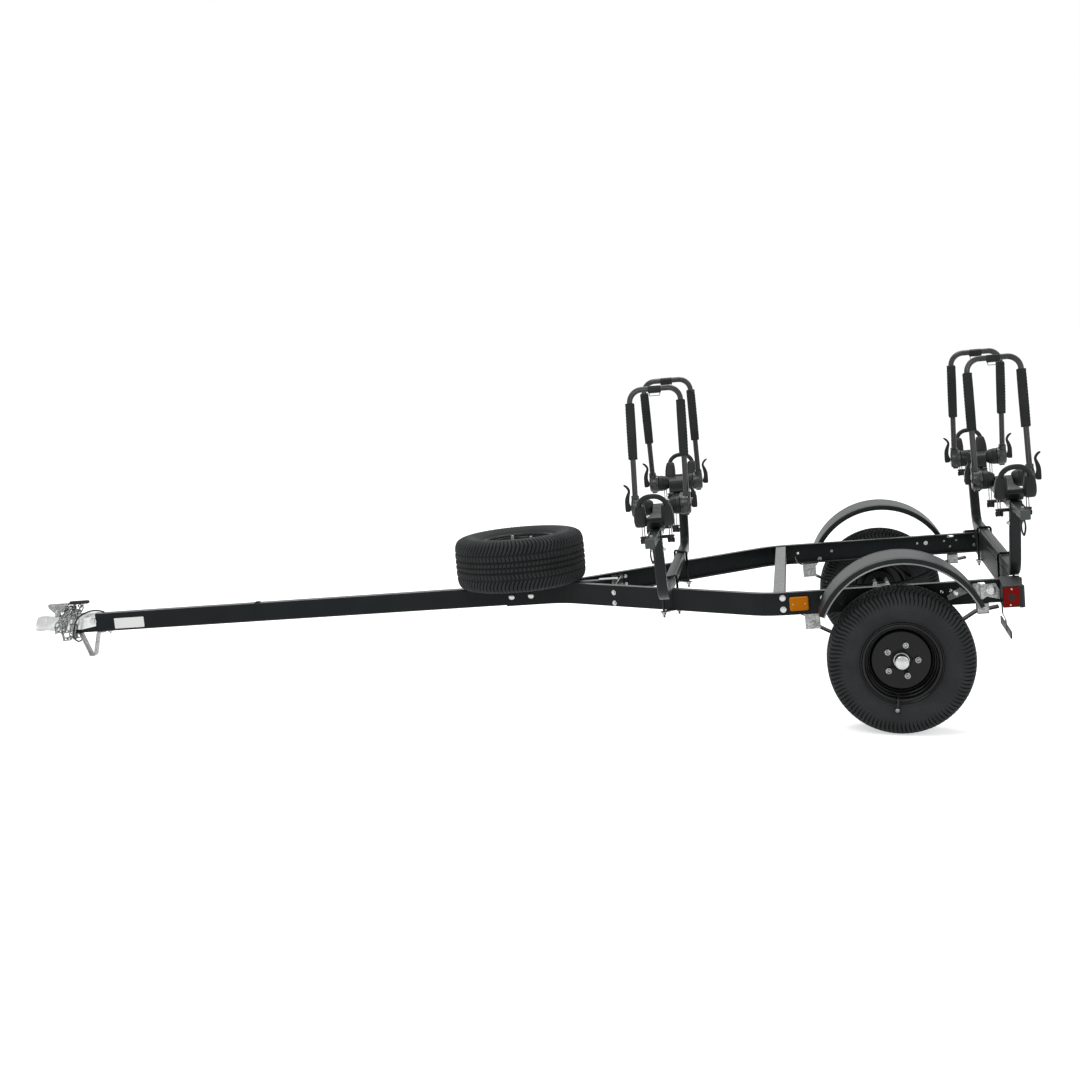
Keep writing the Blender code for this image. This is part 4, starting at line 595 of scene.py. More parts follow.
def mix_finishes():
    """Every finish of the trailer, by a maker's plain name."""
    c = bpy.context.scene.trailer_colours
    uneven, crystals, ribs = surface_group(), spangle_group(), ribs_group()

    # The dust share sets how much painted top light the up-facing faces take.
    def painted(name, colour, spread, rough, height, fine=900.0, broad=9.0, edge=2.5, shine=0.3, dust=0.0):
        finish(name, uneven, colour, spread, {
            "Rough Low": rough[0], "Rough High": rough[1], "Height": height, "Fine Scale": fine,
            "Broad Scale": broad, "Edge": shades(colour, edge - 1)[1], "Dust Share": dust,
        }, Specular_IOR_Level=shine)

    painted("satin_coat", c.coat, 0.18, (0.30, 0.42), 0.00012, fine=1100.0, edge=3.0, shine=0.16)
    # Tongue and rails: a painted highlight on their up-facing faces, mixed in by the dust share.
    painted("top_lit_coat", c.coat, 0.18, (0.30, 0.42), 0.00012, fine=1100.0, edge=3.0, shine=0.10, dust=1.6)
    # The rim's large edge share paints highlight lines along the steps of the rim.
    painted("gloss_coat", c.rim, 0.10, (0.10, 0.17), 0.00003, fine=700.0, edge=14.0, shine=0.18)
    # Pale grey lip: a painted highlight along the fenders' rolled edge.
    painted("rolled_lip", c.lip, 0.20, (0.10, 0.18), 0.00004, fine=700.0, edge=1.6, shine=1.0)
    painted("arm_plastic", c.arm, 0.14, (0.20, 0.32), 0.00010, fine=1500.0, edge=2.2, shine=0.45)
    painted("tyre_rubber", c.rubber, 0.25, (0.62, 0.82), 0.00022, 1400.0, 14.0, edge=1.8, shine=0.2)
    painted("moulded_plastic", c.plastic, 0.18, (0.36, 0.52), 0.00018, fine=1900.0, edge=2.2, shine=0.2)
    painted("foam_skin", c.foam, 0.20, (0.80, 0.95), 0.0006, fine=1200.0, edge=1.6, shine=0.12)
    painted("grip_vinyl", c.plastic, 0.10, (0.30, 0.40), 0.00010, fine=800.0)
    painted("cable_jacket", c.plastic, 0.10, (0.38, 0.50), 0.00006, fine=900.0)
    painted("cap_plastic", c.caps, 0.12, (0.45, 0.60), 0.00010, fine=1500.0, edge=1.8)
    painted("label_white", (0.78, 0.78, 0.77), 0.02, (0.40, 0.50), 0.00002, edge=1.1, shine=0.5)
    for name, share, spread, scale, rough in (
            ("galvanised", 0.40, 0.14, 160.0, (0.46, 0.62)), ("zinc_plate", 0.62, 0.30, 180.0, (0.26, 0.44)),
            ("bright_zinc", 1.0, 0.12, 500.0, (0.14, 0.30)), ("chain_zinc", 0.52, 0.40, 260.0, (0.12, 0.30)),
            ("pressed_zinc", 1.30, 0.10, 420.0, (0.20, 0.38))):
        finish(name, crystals, [v * share for v in c.zinc], spread,
               {"Scale": scale, "Rough Low": rough[0], "Rough High": rough[1]}, Metallic=1.0)
    finish("webbing", ribs, c.foam, 0.4, {"Scale": 300.0}, Roughness=0.85)
    for name, colour in (("amber_lens", c.amber), ("red_lens", c.red)):
        finish(name, ribs, colour, 0.14, {"Scale": 110.0, "Height": 0.0003}, Roughness=0.16,
               Specular_IOR_Level=0.05)
    paint_groove_shade(LOOKS["tyre_rubber"].node_tree)


def paint_groove_shade(tree):
    """Painted shade in the tread: the groove attribute of a tyre mixes its colour towards black down in the
    pattern.
    """
    target = tree.nodes["Principled BSDF"].inputs["Base Color"]
    depth = node(tree, "Attribute", attribute_name="groove").outputs["Fac"]
    shaded = blended(tree, depth, target.links[0].from_socket, (0.002, 0.002, 0.002, 1))
    tree.links.new(shaded, target)


# Pieces

def shown(name, data, look, body):
    """An object in the scene with its finish and slot, riding on its body."""
    data.materials.append(LOOKS[look])
    made = bpy.data.objects.new(name, data)
    bpy.context.scene.collection.objects.link(made)
    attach(made, body)
    return made


def piece(name, part, look, body="frame", replaces=(), bevel=0.0, sharp=35.0, mirror=1.0, groove=None):
    """Put a part into a mesh in the world, finish it, and let it ride on its body."""
    points, faces = part
    world = AXLE_CENTRE + points * np.array((1.0, mirror, 1.0)) @ CHASSIS_AXES
    mesh = bpy.data.meshes.new(name)
    mesh.from_pydata(world.tolist(), [], faces)
    shell = bmesh.new()
    shell.from_mesh(mesh)
    bmesh.ops.recalc_face_normals(shell, faces=shell.faces)
    shell.to_mesh(mesh)
    shell.free()
    mesh.shade_smooth()
    mesh.set_sharp_from_angle(angle=math.radians(sharp))
    # The groove attribute carries painted shade for the tyre's material.
    if groove is not None:
        values = mesh.attributes.new("groove", "FLOAT", "POINT").data
        values.foreach_set("value", groove.ravel().astype(np.float32))
    made = shown(name, mesh, look, body)
    if bevel:
        edge = made.modifiers.new("edge", "BEVEL")
        edge.width = bevel
        edge.segments = 2
        edge.limit_method = "ANGLE"
        edge.angle_limit = BEVEL_FROM
        edge.harden_normals = True
    if replaces:
        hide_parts(*replaces)
    return made


def curve_piece(name, points, radius, look, body="frame"):
    """A round cord as a curve of one open spline."""
    curve = bpy.data.curves.new(name, "CURVE")
    curve.dimensions = "3D"
    curve.bevel_depth = radius
    curve.bevel_resolution = 4
    curve.use_fill_caps = True
    spline = curve.splines.new("POLY")
    world = AXLE_CENTRE + points @ CHASSIS_AXES
    spline.points.add(len(world) - 1)
    spline.points.foreach_set("co", np.column_stack([world, np.ones(len(world))]).ravel())
    return shown(name, curve, look, body), world


def rail_y(x):
    """Outer face of a rail on its slanted stretch."""
    return RAIL_START_Y + RAIL_SLOPE * (x - RAIL_BEND_FRONT_X)


def pieces(prefix, rows, **shared):
    """A row for each piece: the rest of its name, its part, its look, and what else it needs.

    Names of replaced nodes get the same beginning as the piece.
    """
    for ending, part, look, *more in rows:
        extra = {**shared, **(more[0] if more else {})}
        extra["replaces"] = [prefix + node_name for node_name in extra.get("replaces", ())]
        piece(prefix + ending, part, look, **extra)


# Tyres, rims and hubs

def tyre(settings):
    """A tyre turned about +Z through its middle.

    Across: a smooth curve (a, r) of the section with its arc length s from the crown. Round: angle u.
    Depth of the pattern = the greater of five grooves at set s and of slots across the whole tread, whose
    phase in u bends over in the shoulders as a hyperbolic tangent of s and which fade down the sidewall.
    """
    half = np.array([
        (0, 0.2581), (0.03, 0.2578), (0.055, 0.2568), (0.074, 0.2538), (0.087, 0.2472), (0.095, 0.2366),
        (0.1, 0.2222), (0.1022, 0.2045), (0.1015, 0.19), (0.0975, 0.174), (0.0905, 0.161), (0.0845, 0.153),
        (0.0805, 0.148), (0.079, 0.144), (0.0785, 0.13),
    ])
    dense = smooth(np.concatenate([half[:0:-1] * (-1, 1), half]), 2 * TYRE_STEPS + 1)
    run = arc_length(dense)
    run -= run[TYRE_STEPS]
    wall = np.array([0.1035, 0.1085, 0.1135, 0.1185, 0.124, 0.13, 0.135, 0.141, 0.1475, 0.149, 0.1505, 0.152,
                     0.1535, 0.161, 0.169, 0.176, 0.1815, 0.1835, 0.1855, 0.192, 0.197, 0.202, run[-1]])
    s = np.concatenate([-wall[::-1], np.linspace(-0.099, 0.099, 67), wall])

    def along_section(values):
        return np.stack([np.interp(s, run, values[:, k]) for k in (0, 1)], -1)

    line, step = along_section(dense), along_section(np.gradient(dense, axis=0))
    normal = unit(np.stack([-step[:, 1], step[:, 0]], -1))
    count = settings.tread_pitches
    u = np.linspace(0, 2 * np.pi, count * 8, endpoint=False)
    phase = (u * count / (2 * np.pi))[:, None]
    edge = np.abs(s)[None, :]
    swing = 0.0008 * np.sin(2 * np.pi * phase)

    def band(where, width):
        return np.clip(1.5 - np.abs(edge - where - swing) / width, 0, 1)

    grooves = np.maximum.reduce([share * band(where, width) for where, width, share in TREAD_GROOVES])
    lean = -np.sign(s) * 0.32 * (1 + np.tanh((np.abs(s) - 0.056) / 0.01)) - 0.18 * np.sin(s * 90)
    slot = (phase + lean[None, :]) % 1.0
    crown = edge < 0.05
    cuts = np.clip(1.6 - np.abs(slot - 0.5) / np.where(crown, 0.085, 0.11), 0, 1)
    cuts = cuts * np.where(crown, 0.85, 1.0) * np.clip((0.138 - edge) / 0.024, 0, 1)
    depth = settings.tread_depth * np.maximum(grooves, cuts)
    rings = 0.0007 * (np.exp(-((edge - 0.1505) / 0.0016) ** 2) + np.exp(-((edge - 0.1835) / 0.0018) ** 2))
    liner = np.array([(0.064, 0.13), (0.087, 0.208), (0.062, 0.244)])
    liner = np.concatenate([liner, liner[::-1] * (-1, 1)])
    inside = (len(u), len(liner))
    a, r = (np.concatenate([line[None, :, k] + normal[None, :, k] * (rings - depth),
                            np.broadcast_to(liner[:, k], inside)], 1) for k in (0, 1))
    # Groove share for painted shade down in the pattern; the liner inside is shaded fully.
    groove = np.concatenate([np.clip(depth / settings.tread_depth, 0, 1), np.ones(inside)], 1)
    points = np.stack([r * np.cos(u)[:, None], r * np.sin(u)[:, None], a], -1)
    return grid(points, around=True, along=True), groove


def rim():
    """Pressed rim and disc: one closed section turned about +Z, outboard face towards +Z."""
    outer = [
        (-0.084, 0.1445), (-0.0825, 0.1458), (-0.0805, 0.1445), (-0.08, 0.1292), (-0.056, 0.128),
        (-0.05, 0.112), (0.01, 0.112), (0.018, 0.129), (0.074, 0.13), (0.0785, 0.1445), (0.0815, 0.1458),
        (0.084, 0.1445),
    ]
    face = [
        (0.0846, 0.1425), (0.083, 0.14), (0.0775, 0.1365), (0.0755, 0.131), (0.07, 0.1275), (0.063, 0.1262),
        (0.06, 0.1245), (0.059, 0.1215), (0.042, 0.12), (0.039, 0.1185), (0.038, 0.1155), (0.021, 0.114),
        (0.018, 0.1125), (0.0175, 0.11), (0.0205, 0.108), (0.027, 0.105), (0.0295, 0.103), (0.03, 0.1),
        (0.03, 0.04), (0.032, 0.036), (0.0315, 0.0335), (0.0265, 0.0335), (0.0262, 0.099), (0.0235, 0.102),
        (0.012, 0.106), (0.011, 0.1085), (-0.0485, 0.1085), (-0.0545, 0.1245), (-0.083, 0.1262),
    ]
    return turned(round_off(np.array(outer + face), 0.25), 96, closed=True)


def round_off(corners, share, most=0.002):
    """Cut each corner of a closed outline by a share of its shorter neighbour side, twice over."""
    for _ in range(2):
        sides = [np.roll(corners, k, 0) - corners for k in (1, -1)]
        reach = np.minimum(np.linalg.norm(sides, axis=-1).min(0) * share, most)[:, None]
        corners = np.stack([corners + unit(side) * reach for side in sides], 1).reshape(-1, 2)
    return corners


def hub():
    """Hub turned about +Z: (barrel and flange, dust cap)."""
    barrel = [
        (-0.06, 0.014), (-0.06, 0.03), (-0.0585, 0.0315), (0.017, 0.035), (0.0172, 0.069), (0.0258, 0.069),
        (0.0262, 0.03), (0.0262, 0.014),
    ]
    cap = [
        (0.0262, 0), (0.0262, 0.0294), (0.0385, 0.0286), (0.0395, 0.0276), (0.0397, 0.0244), (0.0436, 0.0244),
        (0.0442, 0.0256), (0.076, 0.0252), (0.078, 0.024), (0.0794, 0.0212), (0.0799, 0),
    ]
    return turned(barrel, 48, closed=True), turned(cap, 48)


def wheel_nut():
    """Cone seat, hexagon and the end of the stud."""
    cone = turned([(-0.0005, 0.0075), (0, 0.01), (0.003, 0.0108), (0.0032, 0.0075)], 24)
    stud = moved(bolt_end(0.0044, 0.0115), (0, 0, 0.005))
    return merged(cone, moved(hex_nut(0.0205, 0.014, bore=0.0068), (0, 0, 0.002)), stud)


def valve(centre, out, away, route):
    """Rubber stem carried along a smooth route of (away, out) steps over the rim's lip, and its cap."""
    line = smooth(centre + route @ np.array((away, out)), 24)
    foot = turned([(0, 0.007), (0.004, 0.0068), (0.01, 0.0046)], 16)
    cap = [(-0.002, 0), (-0.002, 0.006), (0.001, 0.0078), (0.009, 0.0076), (0.0108, 0.006), (0.0112, 0)]
    stem = merged(tube(line, ring(0.0041, 14)), aim(foot, line[0], out))
    return stem, aim(turned(cap, 20), line[-1], out + away * 0.35)


def stud_places(centre, out, spin):
    """Centres of the five studs on the disc's face round an axis, the first towards spin."""
    angle = 2 * np.pi * np.arange(5)[:, None] / 5
    round_axis = np.cos(angle) * np.asarray(spin) + np.sin(angle) * np.cross(out, spin)
    return centre + out * (DISC_FACE + GAP) + LUG_CIRCLE_R * round_axis


def hat_strap(path, width, thickness, side=Y, bend=0.006):
    """Flat bar of a width and thickness bent along a path."""
    return tube(fillet(path, bend), rounded_rect(width, thickness, thickness * 0.2, 2), side=side)


def dress_wheel(name, body, centre, out, spin, settings, swell=(1.0, 1.0, 1.0), route=VALVE_ROUTE):
    """One wheel: tyre, rim, valve and its cap, with the nodes of the frame that they stand for."""
    rubber, groove = tyre(settings)
    away = np.asarray(spin) * math.cos(VALVE_TURN) + np.cross(out, spin) * math.sin(VALVE_TURN)
    stem, cap = valve(centre, out, away, route)
    pieces(name + "_", (
        ("tread_tyre", aim(moved(rubber, scale=swell), centre, out, spin), "tyre_rubber",
         {"replaces": ["tyre"], "sharp": 28, "groove": groove}),
        ("pressed_rim", aim(rim(), centre, out, spin), "gloss_coat", {"replaces": ["rim"], "sharp": 40}),
        ("valve_stem", stem, "grip_vinyl"),
        ("valve_cap", cap, "zinc_plate"),
    ), body=body)


# Bent bars and clamps; from here on, parts in pairs are built on the right side

def load_bar(bar_x, bar_z):
    """Goal post: a square tube on a filleted path up to the crossbar's seat, with two ears on each end."""
    cross_z = bar_z + CROSSBAR_RISE
    lean = math.tan(POST_LEAN)
    seat, top = cross_z - CROSSBAR_SIZE / 2 - GAP, cross_z + CROSSBAR_SIZE / 2 - 0.003
    seat_y = BAR_CORNER_Y + (seat - bar_z) * lean
    corners = ((-seat_y, seat), (-BAR_CORNER_Y, bar_z), (BAR_CORNER_Y, bar_z), (seat_y, seat))
    section = rounded_rect(BAR_SIZE, BAR_SIZE, 0.005)
    body = tube(fillet([(bar_x, y, z) for y, z in corners], 0.09, 14), section, side=X)
    for rows in (slice(0, len(section)), slice(-len(section), None)):
        body[0][rows, 2] = seat
    half_y = BAR_SIZE / 2 / math.cos(POST_LEAN) - 0.0015
    heights = ((seat - 0.03, 0.0), (top - 0.004, 0.0), (top, 0.004))
    ears = []
    for sign in ENDS:
        outline = [(sign * (BAR_CORNER_Y + (z - bar_z) * lean + k * (half_y - inset)), z)
                   for k, steps in ((1, heights), (-1, heights[::-1])) for z, inset in steps]
        for end in ENDS:
            ears.append(slab(outline, "X", *(bar_x + end * (BAR_SIZE / 2 - cut) for cut in (0.0001, 0.0026))))
    return merged(body, *ears)


def crossbar(bar_x, cross_z):
    """Square tube with rounded corners."""
    path = [(bar_x, end * CROSSBAR_HALF, cross_z) for end in ENDS]
    return tube(path, rounded_rect(CROSSBAR_SIZE, CROSSBAR_SIZE, 0.0032, 5), side=X)


def crossbar_cap(bar_x, cross_z):
    """Square cap, domed at its end: the section shrinks along the last millimetres."""
    side = CROSSBAR_SIZE + 0.0024
    steps = [(-0.001, 1), (0.0016, 1), (0.0034, 0.985), (0.0045, 0.95), (0.005, 0.9)]
    return stepped((bar_x, CROSSBAR_HALF, cross_z), Y, rounded_rect(side, side, 0.004, 5), steps, X)


def tie_loop(bar_x, y, under):
    """Webbing strap bent into a drop: a closed smooth curve carries the strap's thin section."""
    half = np.array([
        (0.003, -0.009), (0.0054, -0.018), (0.0068, -0.03), (0.0058, -0.044), (0.0026, -0.057), (0, -0.062)])
    drop = np.concatenate([half[:1] * (-1, 1), half, half[-2:0:-1] * (-1, 1)])
    path = smooth([(bar_x + a, y, under + b) for a, b in drop], 64, closed=True)
    return tube(path, rounded_rect(0.018, 0.0046, 0.0014, 2), side=Y, closed=True)


def clamp_bow(start, end, low, top):
    """Round rod bent twice: up, across, and down again."""
    path = fillet([(*start, low), (*start, top), (*end, top), (*end, low)], 0.01, 8)
    return tube(path, ring(UROD_R, 16), side=np.cross(Z, (end[0] - start[0], end[1] - start[1], 0.0)))


def slanted_plate(start, end, half_width, reach, low, high):
    """Flat plate with cut corners under the two legs of a clamp."""
    a, b = np.array(start), np.array(end)
    along = unit(b - a)
    out = np.array((-along[1], along[0]))
    length, cut = np.linalg.norm(b - a) / 2 + reach, 0.004
    outline = [
        (a + b) / 2 + along * (k * (length - c)) + out * (m * (half_width - d))
        for k, m, c, d in ((-1, 1, 0, cut), (-1, 1, cut, 0), (1, 1, cut, 0), (1, 1, 0, cut),
                           (1, -1, 0, cut), (1, -1, cut, 0), (-1, -1, cut, 0), (-1, -1, 0, cut))
    ]
    return slab(outline, "Z", low, high)


def bar_clamp(name, bar_x, bar_z):
    """U-bolt over a load bar: (black bow, zinc plate with nuts and rod ends)."""
    across, under = (REAR_CLAMP_Y, REAR_CLAMP_Y), REAR_MEMBER_BOTTOM - GAP
    if name == "front":
        middle = rail_y(bar_x) - RAIL_FLANGE / 2 * math.hypot(1, RAIL_SLOPE)
        across, under = (middle + 0.03, middle - 0.03), RAIL_BOTTOM - GAP
    legs = [(bar_x + end * CLAMP_LEG_X, y) for end, y in zip(ENDS, across)]
    low = under - CLAMP_PLATE_T
    bow = clamp_bow(*legs, low, bar_z + BAR_SIZE / 2 + GAP + UROD_R)
    end_of_leg = merged(hex_nut(0.0165, 0.0085), bolt_end(UROD_R, 0.02))
    ends = copies(end_of_leg, [(*leg, low) for leg in legs], -Z)
    return bow, merged(slanted_plate(*legs, 0.013, 0.012, low, under), *ends)


def spring_clamp():
    """Two U-bolts under the axle and the drilled plate over the spring, with four nuts."""
    leg_x = AXLE_SIZE / 2 + UROD_R + UROD_SLACK
    leg_y = SPRING_W / 2 + UROD_R + UROD_SLACK
    low = -leg_x - SPRING_TOP_Z
    parts = [slab(rounded_rect(2 * leg_x + 0.024, 2 * leg_y + 0.024, 0.006), "Z", 0, 0.006)]
    for y in (-leg_y, leg_y):
        path = [(-leg_x, y, 0), (-leg_x, y, low), (leg_x, y, low), (leg_x, y, 0)]
        parts.append(tube(fillet(path, 0.01, 8), ring(UROD_R, 16), side=Y))
        for x in (-leg_x, leg_x):
            parts += [moved(hex_nut(0.016, 0.009), (x, y, 0.006)), moved(bolt_end(UROD_R, 0.022), (x, y, 0))]
    return moved(merged(*parts), (0, SPRING_Y, SPRING_TOP_Z))


# Fenders

def fender_arc(radius, y):
    """Points on an arc over a wheel."""
    angle = np.linspace(-FENDER_HALF_ARC, FENDER_HALF_ARC, ARC_STEPS)
    return np.stack([FENDER_X + radius * np.sin(angle), np.full(ARC_STEPS, y),
                     FENDER_Z + radius * np.cos(angle)], -1)


def fender():
    """Rolled sheet: a hat section with rounded folds and two rolled beads, carried round an arc."""
    w, lip, t, fold = FENDER_HALF_W, 0.020, 0.002, 0.005
    turn = np.linspace(0, np.pi / 2, 6)
    corner = np.stack([w - fold + fold * np.sin(turn), -fold + fold * np.cos(turn)], -1)
    across = np.linspace(-(w - fold), w - fold, 61)[1:-1]
    bead = 0.0016 * np.exp(-((np.abs(across) - (w - 0.022)) / 0.003) ** 2)
    outer = np.concatenate([
        [(-w, -lip)], corner[::-1] * (-1, 1), np.stack([across, -bead], -1), corner, [(w, -lip)]])
    inner = outer[::-1] * ((w - t) / w, 1) - (0, t)
    inner[0, 1] = inner[-1, 1] = -lip
    return tube(fender_arc(FENDER_R, FENDER_MID_Y), np.concatenate([outer, inner]), side=Y)


def fender_lip():
    """Wire rolled into the outer lip: a round section on an arc under the lip's edge."""
    path = fender_arc(FENDER_R - 0.0185, FENDER_MID_Y + FENDER_HALF_W - 0.0012)
    return tube(path, ring(0.003, 12), side=Y)


def fender_brackets():
    """Plates on the rail, bent out to the fender's edge: (black in front, zinc behind, drilled plate)."""
    inner = RAIL_OUTER_Y + GAP
    middle, reach = inner + RAIL_T / 2, FENDER_MID_Y - FENDER_HALF_W + 0.001

    def tab(x_from, x_tab):
        path = [(x_from, middle, 0.2), (x_tab, middle, 0.2), (x_tab, reach, 0.2)]
        return hat_strap(path, 0.054, RAIL_T, side=Z, bend=0.004)

    bolts = copies(hex_bolt(*FRAME_BOLT), [(-0.186, inner + RAIL_T, z) for z in (0.214, 0.186)], Y)
    rear = [(0.273, 0.2221), (0.3532, 0.2238), (0.3655, 0.1987), (0.3645, 0.166), (0.3205, 0.1771),
            (0.3063, 0.168), (0.273, 0.174)]
    drilled = [(0.181, 0.188), (0.229, 0.2176), (0.2557, 0.1951), (0.187, 0.1705)]
    rear = merged(tab(0.3, 0.272), slab(rear, "Y", inner, inner + RAIL_T))
    return merged(tab(-0.172, -0.258), *bolts), rear, slab(drilled, "Y", inner, inner + 0.0022)


def hangers():
    """Zinc spring hangers round the frame's own: an inverted U with its eye bolt, and a box behind."""
    y, outer, inner = SPRING_Y, SPRING_W / 2 + 0.0045, SPRING_W / 2 + 0.0004
    top, roof, low, floor = RAIL_BOTTOM - 0.0001, 0.1512, 0.098, 0.1157
    shoe = slab([(y - outer, low), (y - outer, top), (y + outer, top), (y + outer, low), (y + inner, low),
                 (y + inner, roof), (y - inner, roof), (y - inner, low)], "X", *about(EYE_X, 0.0274))
    ends = [aim(hex_nut(0.017, 0.0062), (EYE_X, y + s * outer, EYE_Z), s * Y) for s in ENDS]
    walls = [block(BOX_X, (y + s * inner, y + s * outer), (floor, top)) for s in ENDS]
    plates = [block(BOX_X, about(y, outer), pair) for pair in ((floor, floor + 0.0036), (roof, top))]
    return merged(shoe, *ends, *walls, *plates)


# Cradles, built round (bar_x, 0, cross_z)

def hoop(centre, half, up, low, high, bend, steps, section):
    """A bar that runs up one leg, across between two bends, and down the other leg."""
    near, far = (centre + end * half * X for end in ENDS)
    path = [near + up * low, near + up * high, far + up * high, far + up * low]
    return tube(fillet(path, bend, steps), section, side=np.cross(up, X))


def cradle_base(bar_x, cross_z):
    """Moulded base: a saddle on the crossbar, hinge barrels, a deck, and two lobes under a handle-like arch.

    The saddle rises off the bar towards its outer end, and the lobes grow out of its sides there: their
    section is a rounded square whose width and depth run smoothly up the leaning line of the arch.
    """
    floor = cross_z + CROSSBAR_SIZE / 2 + GAP
    hinge_z = cross_z + HINGE_RISE
    knee, arch = np.array((HINGE_Y, floor)), np.array((LOW_ARCH_Y, floor))
    spine = smooth(np.concatenate([
        knee + [(-0.018, 0), (0.1, 0)],
        arch + [(-0.09, 0), (-0.03, 0), (-0.012, 0.004), (-0.004, 0.016), (0.01, 0.022), (0.016, 0.034),
                (0.004, 0.041), (-0.04, 0.038)],
        knee + [(0.11, 0.031), (0.06, 0.033)],
        (HINGE_Y, hinge_z) + np.array([(0.034, 0.004), (0.01, 0.012), (-0.016, 0.006)]),
        knee + [(-0.022, 0.016)],
    ]), 110, closed=True)
    spine[:, 1] = np.maximum(spine[:, 1], floor)
    parts = [slab(spine, "X", *about(bar_x, SPINE_HALF))]
    for low, high, reach in ((0.026, 0.0325, 0.0175), (0.0355, 0.0425, 0.0185)):
        deck_y, deck_z = (LOW_ARCH_Y - 0.02, LOW_ARCH_Y + reach), (floor + low, floor + high)
        parts.append(block(about(bar_x, 0.034), deck_y, deck_z))
    barrel = turned([(0, 0.02), (0.004, 0.024), (0.012, 0.0285), (0.022, 0.0315), (0.024, 0.03),
                     (0.027, 0.0325), (0.04, 0.033), (0.043, 0.031)], 40)
    wing = smooth(arch + [(-0.08, 0.006), (-0.03, 0.008), (0.002, 0.018), (0.012, 0.03), (-0.02, 0.036),
                          (-0.06, 0.024), (-0.084, 0.014)], 48, closed=True)
    for end in ENDS:
        parts.append(aim(barrel, (bar_x + end * SPINE_HALF, HINGE_Y, hinge_z), end * X))
        parts.append(slab(wing, "X", *(bar_x + end * x for x in (SPINE_HALF - 0.001, LOW_ARCH_HALF + 0.012))))
    lean = np.array((0.0, math.sin(LOW_ARCH_LEAN), math.cos(LOW_ARCH_LEAN)))
    side = np.cross(lean, X)
    foot = np.array((bar_x, LOW_ARCH_Y, floor + 0.008))
    parts.append(hoop(foot, LOW_ARCH_HALF, lean, 0.05, LOW_ARCH_TOP, 0.046, 14, ring(LOW_ARCH_TUBE_R, 20)))
    steps = ((0.006, 0.02, 0.016), (0.0085, 0.032, 0.025), (0.014, 0.04, 0.031), (0.03, 0.045, 0.0355),
             (0.055, 0.0445, 0.035), (0.076, 0.0395, 0.0305), (0.088, 0.034, 0.0255), (0.0925, 0.0265, 0.02))
    shape = ring(0.5, 32, power=5.0)
    for end in ENDS:
        rows = [foot + lean * h + end * (LOW_ARCH_HALF - 0.04 * h) * X + np.outer(shape[:, 0] * w, X)
                + np.outer(shape[:, 1] * d, side) for h, w, d in steps]
        parts.append(grid(np.array(rows), around=True, caps=True))
    return merged(*parts)


def clamp_hardware(bar_x, cross_z):
    """Plates under the crossbar with their zinc bolts and wing knobs: (plates, bolts, knobs)."""
    under = cross_z - CROSSBAR_SIZE / 2 - GAP
    face = under - CLAMP_T
    plate = slab(rounded_rect(2 * CLAMP_HALF, 0.03, 0.011, 6), "Z", -CLAMP_T, 0)
    rod_end = bolt_end(0.0022, CROSSBAR_SIZE + 0.036)
    washer = turned([(0, 0.0072), (0.0012, 0.0072)], 20)
    boss = turned([(0, 0.0085), (0.013, 0.008), (0.0185, 0.005)], 18)
    wing = slab([(0.002, 0), (0.012, -0.001), (0.0142, -0.005), (0.0134, -0.018), (0.009, -0.0205),
                 (0.002, -0.016)], "Y", -0.0021, 0.0021)
    plates, bolts, knobs = [], [], []
    for y in CLAMP_Y:
        plates.append(moved(plate, (bar_x, y, under)))
        plates.append(rod((bar_x - 0.04, y, face), (bar_x + 0.04, y, face), 0.0048))
        for end in ENDS:
            at = np.array((bar_x + end * CLAMP_BOLT_X, y, face))
            bolts += copies(rod_end, [at + (k * 0.0042, 0, -0.004) for k in ENDS], Z)
            bolts.append(aim(washer, at, -Z))
            at = at - 0.0012 * Z
            knobs.append(aim(boss, at, -Z))
            knobs += [aim(wing, at, Z, k * np.array(KNOB_TURN)) for k in ENDS]
    return merged(*plates), merged(*bolts), merged(*knobs)


def cradle_arm(origin):
    """Folding arm: a tube with a groove down each quarter, on two ringed barrels with sockets and tabs."""
    angle = np.linspace(0, 2 * np.pi, 32, endpoint=False)
    nearest = (angle + np.pi / 4) % (np.pi / 2) - np.pi / 4
    radius = ARM_TUBE_R * 1.16 * (1 - 0.16 * np.exp(-(nearest / 0.22) ** 2))
    section = np.stack([radius * np.cos(angle), radius * np.sin(angle)], -1)
    parts = [hoop(origin, LEG_HALF, ARM_UP, 0.020, ARM_LEN - 0.002, ARM_TOP_R, 16, section)]
    a = np.linspace(0, KNUCKLE_X - HUB_DISC_X - 0.001, 41)
    depth = a / a[-1]
    bulge = KNUCKLE_R * (0.74 + 0.26 * np.sqrt(np.clip(1 - np.abs(1.75 * depth - 0.75) ** 3, 0, 1)))
    rings = -0.0006 * sum(np.exp(-((depth - at) / 0.035) ** 2) for at in (0.12, 0.62))
    knuckle = turned(np.stack([a, np.minimum(bulge + rings, KNUCKLE_R)], -1), 48)
    tab_z = origin[2] - KNUCKLE_R + 0.006
    for end in ENDS:
        parts.append(aim(knuckle, origin + end * (HUB_DISC_X + 0.0008) * X, end * X))
        leg = origin + end * LEG_HALF * X
        socket = [leg + ARM_UP * 0.012, leg + ARM_UP * 0.046]
        parts.append(tube(socket, ring(0.0145, 24, power=4.0), side=ARM_SIDE))
        x = origin[0] + end * (HUB_DISC_X + 0.02)
        parts.append(block(about(x, 0.01), about(origin[1], 0.009), (tab_z - 0.009, tab_z)))
    return merged(*parts)


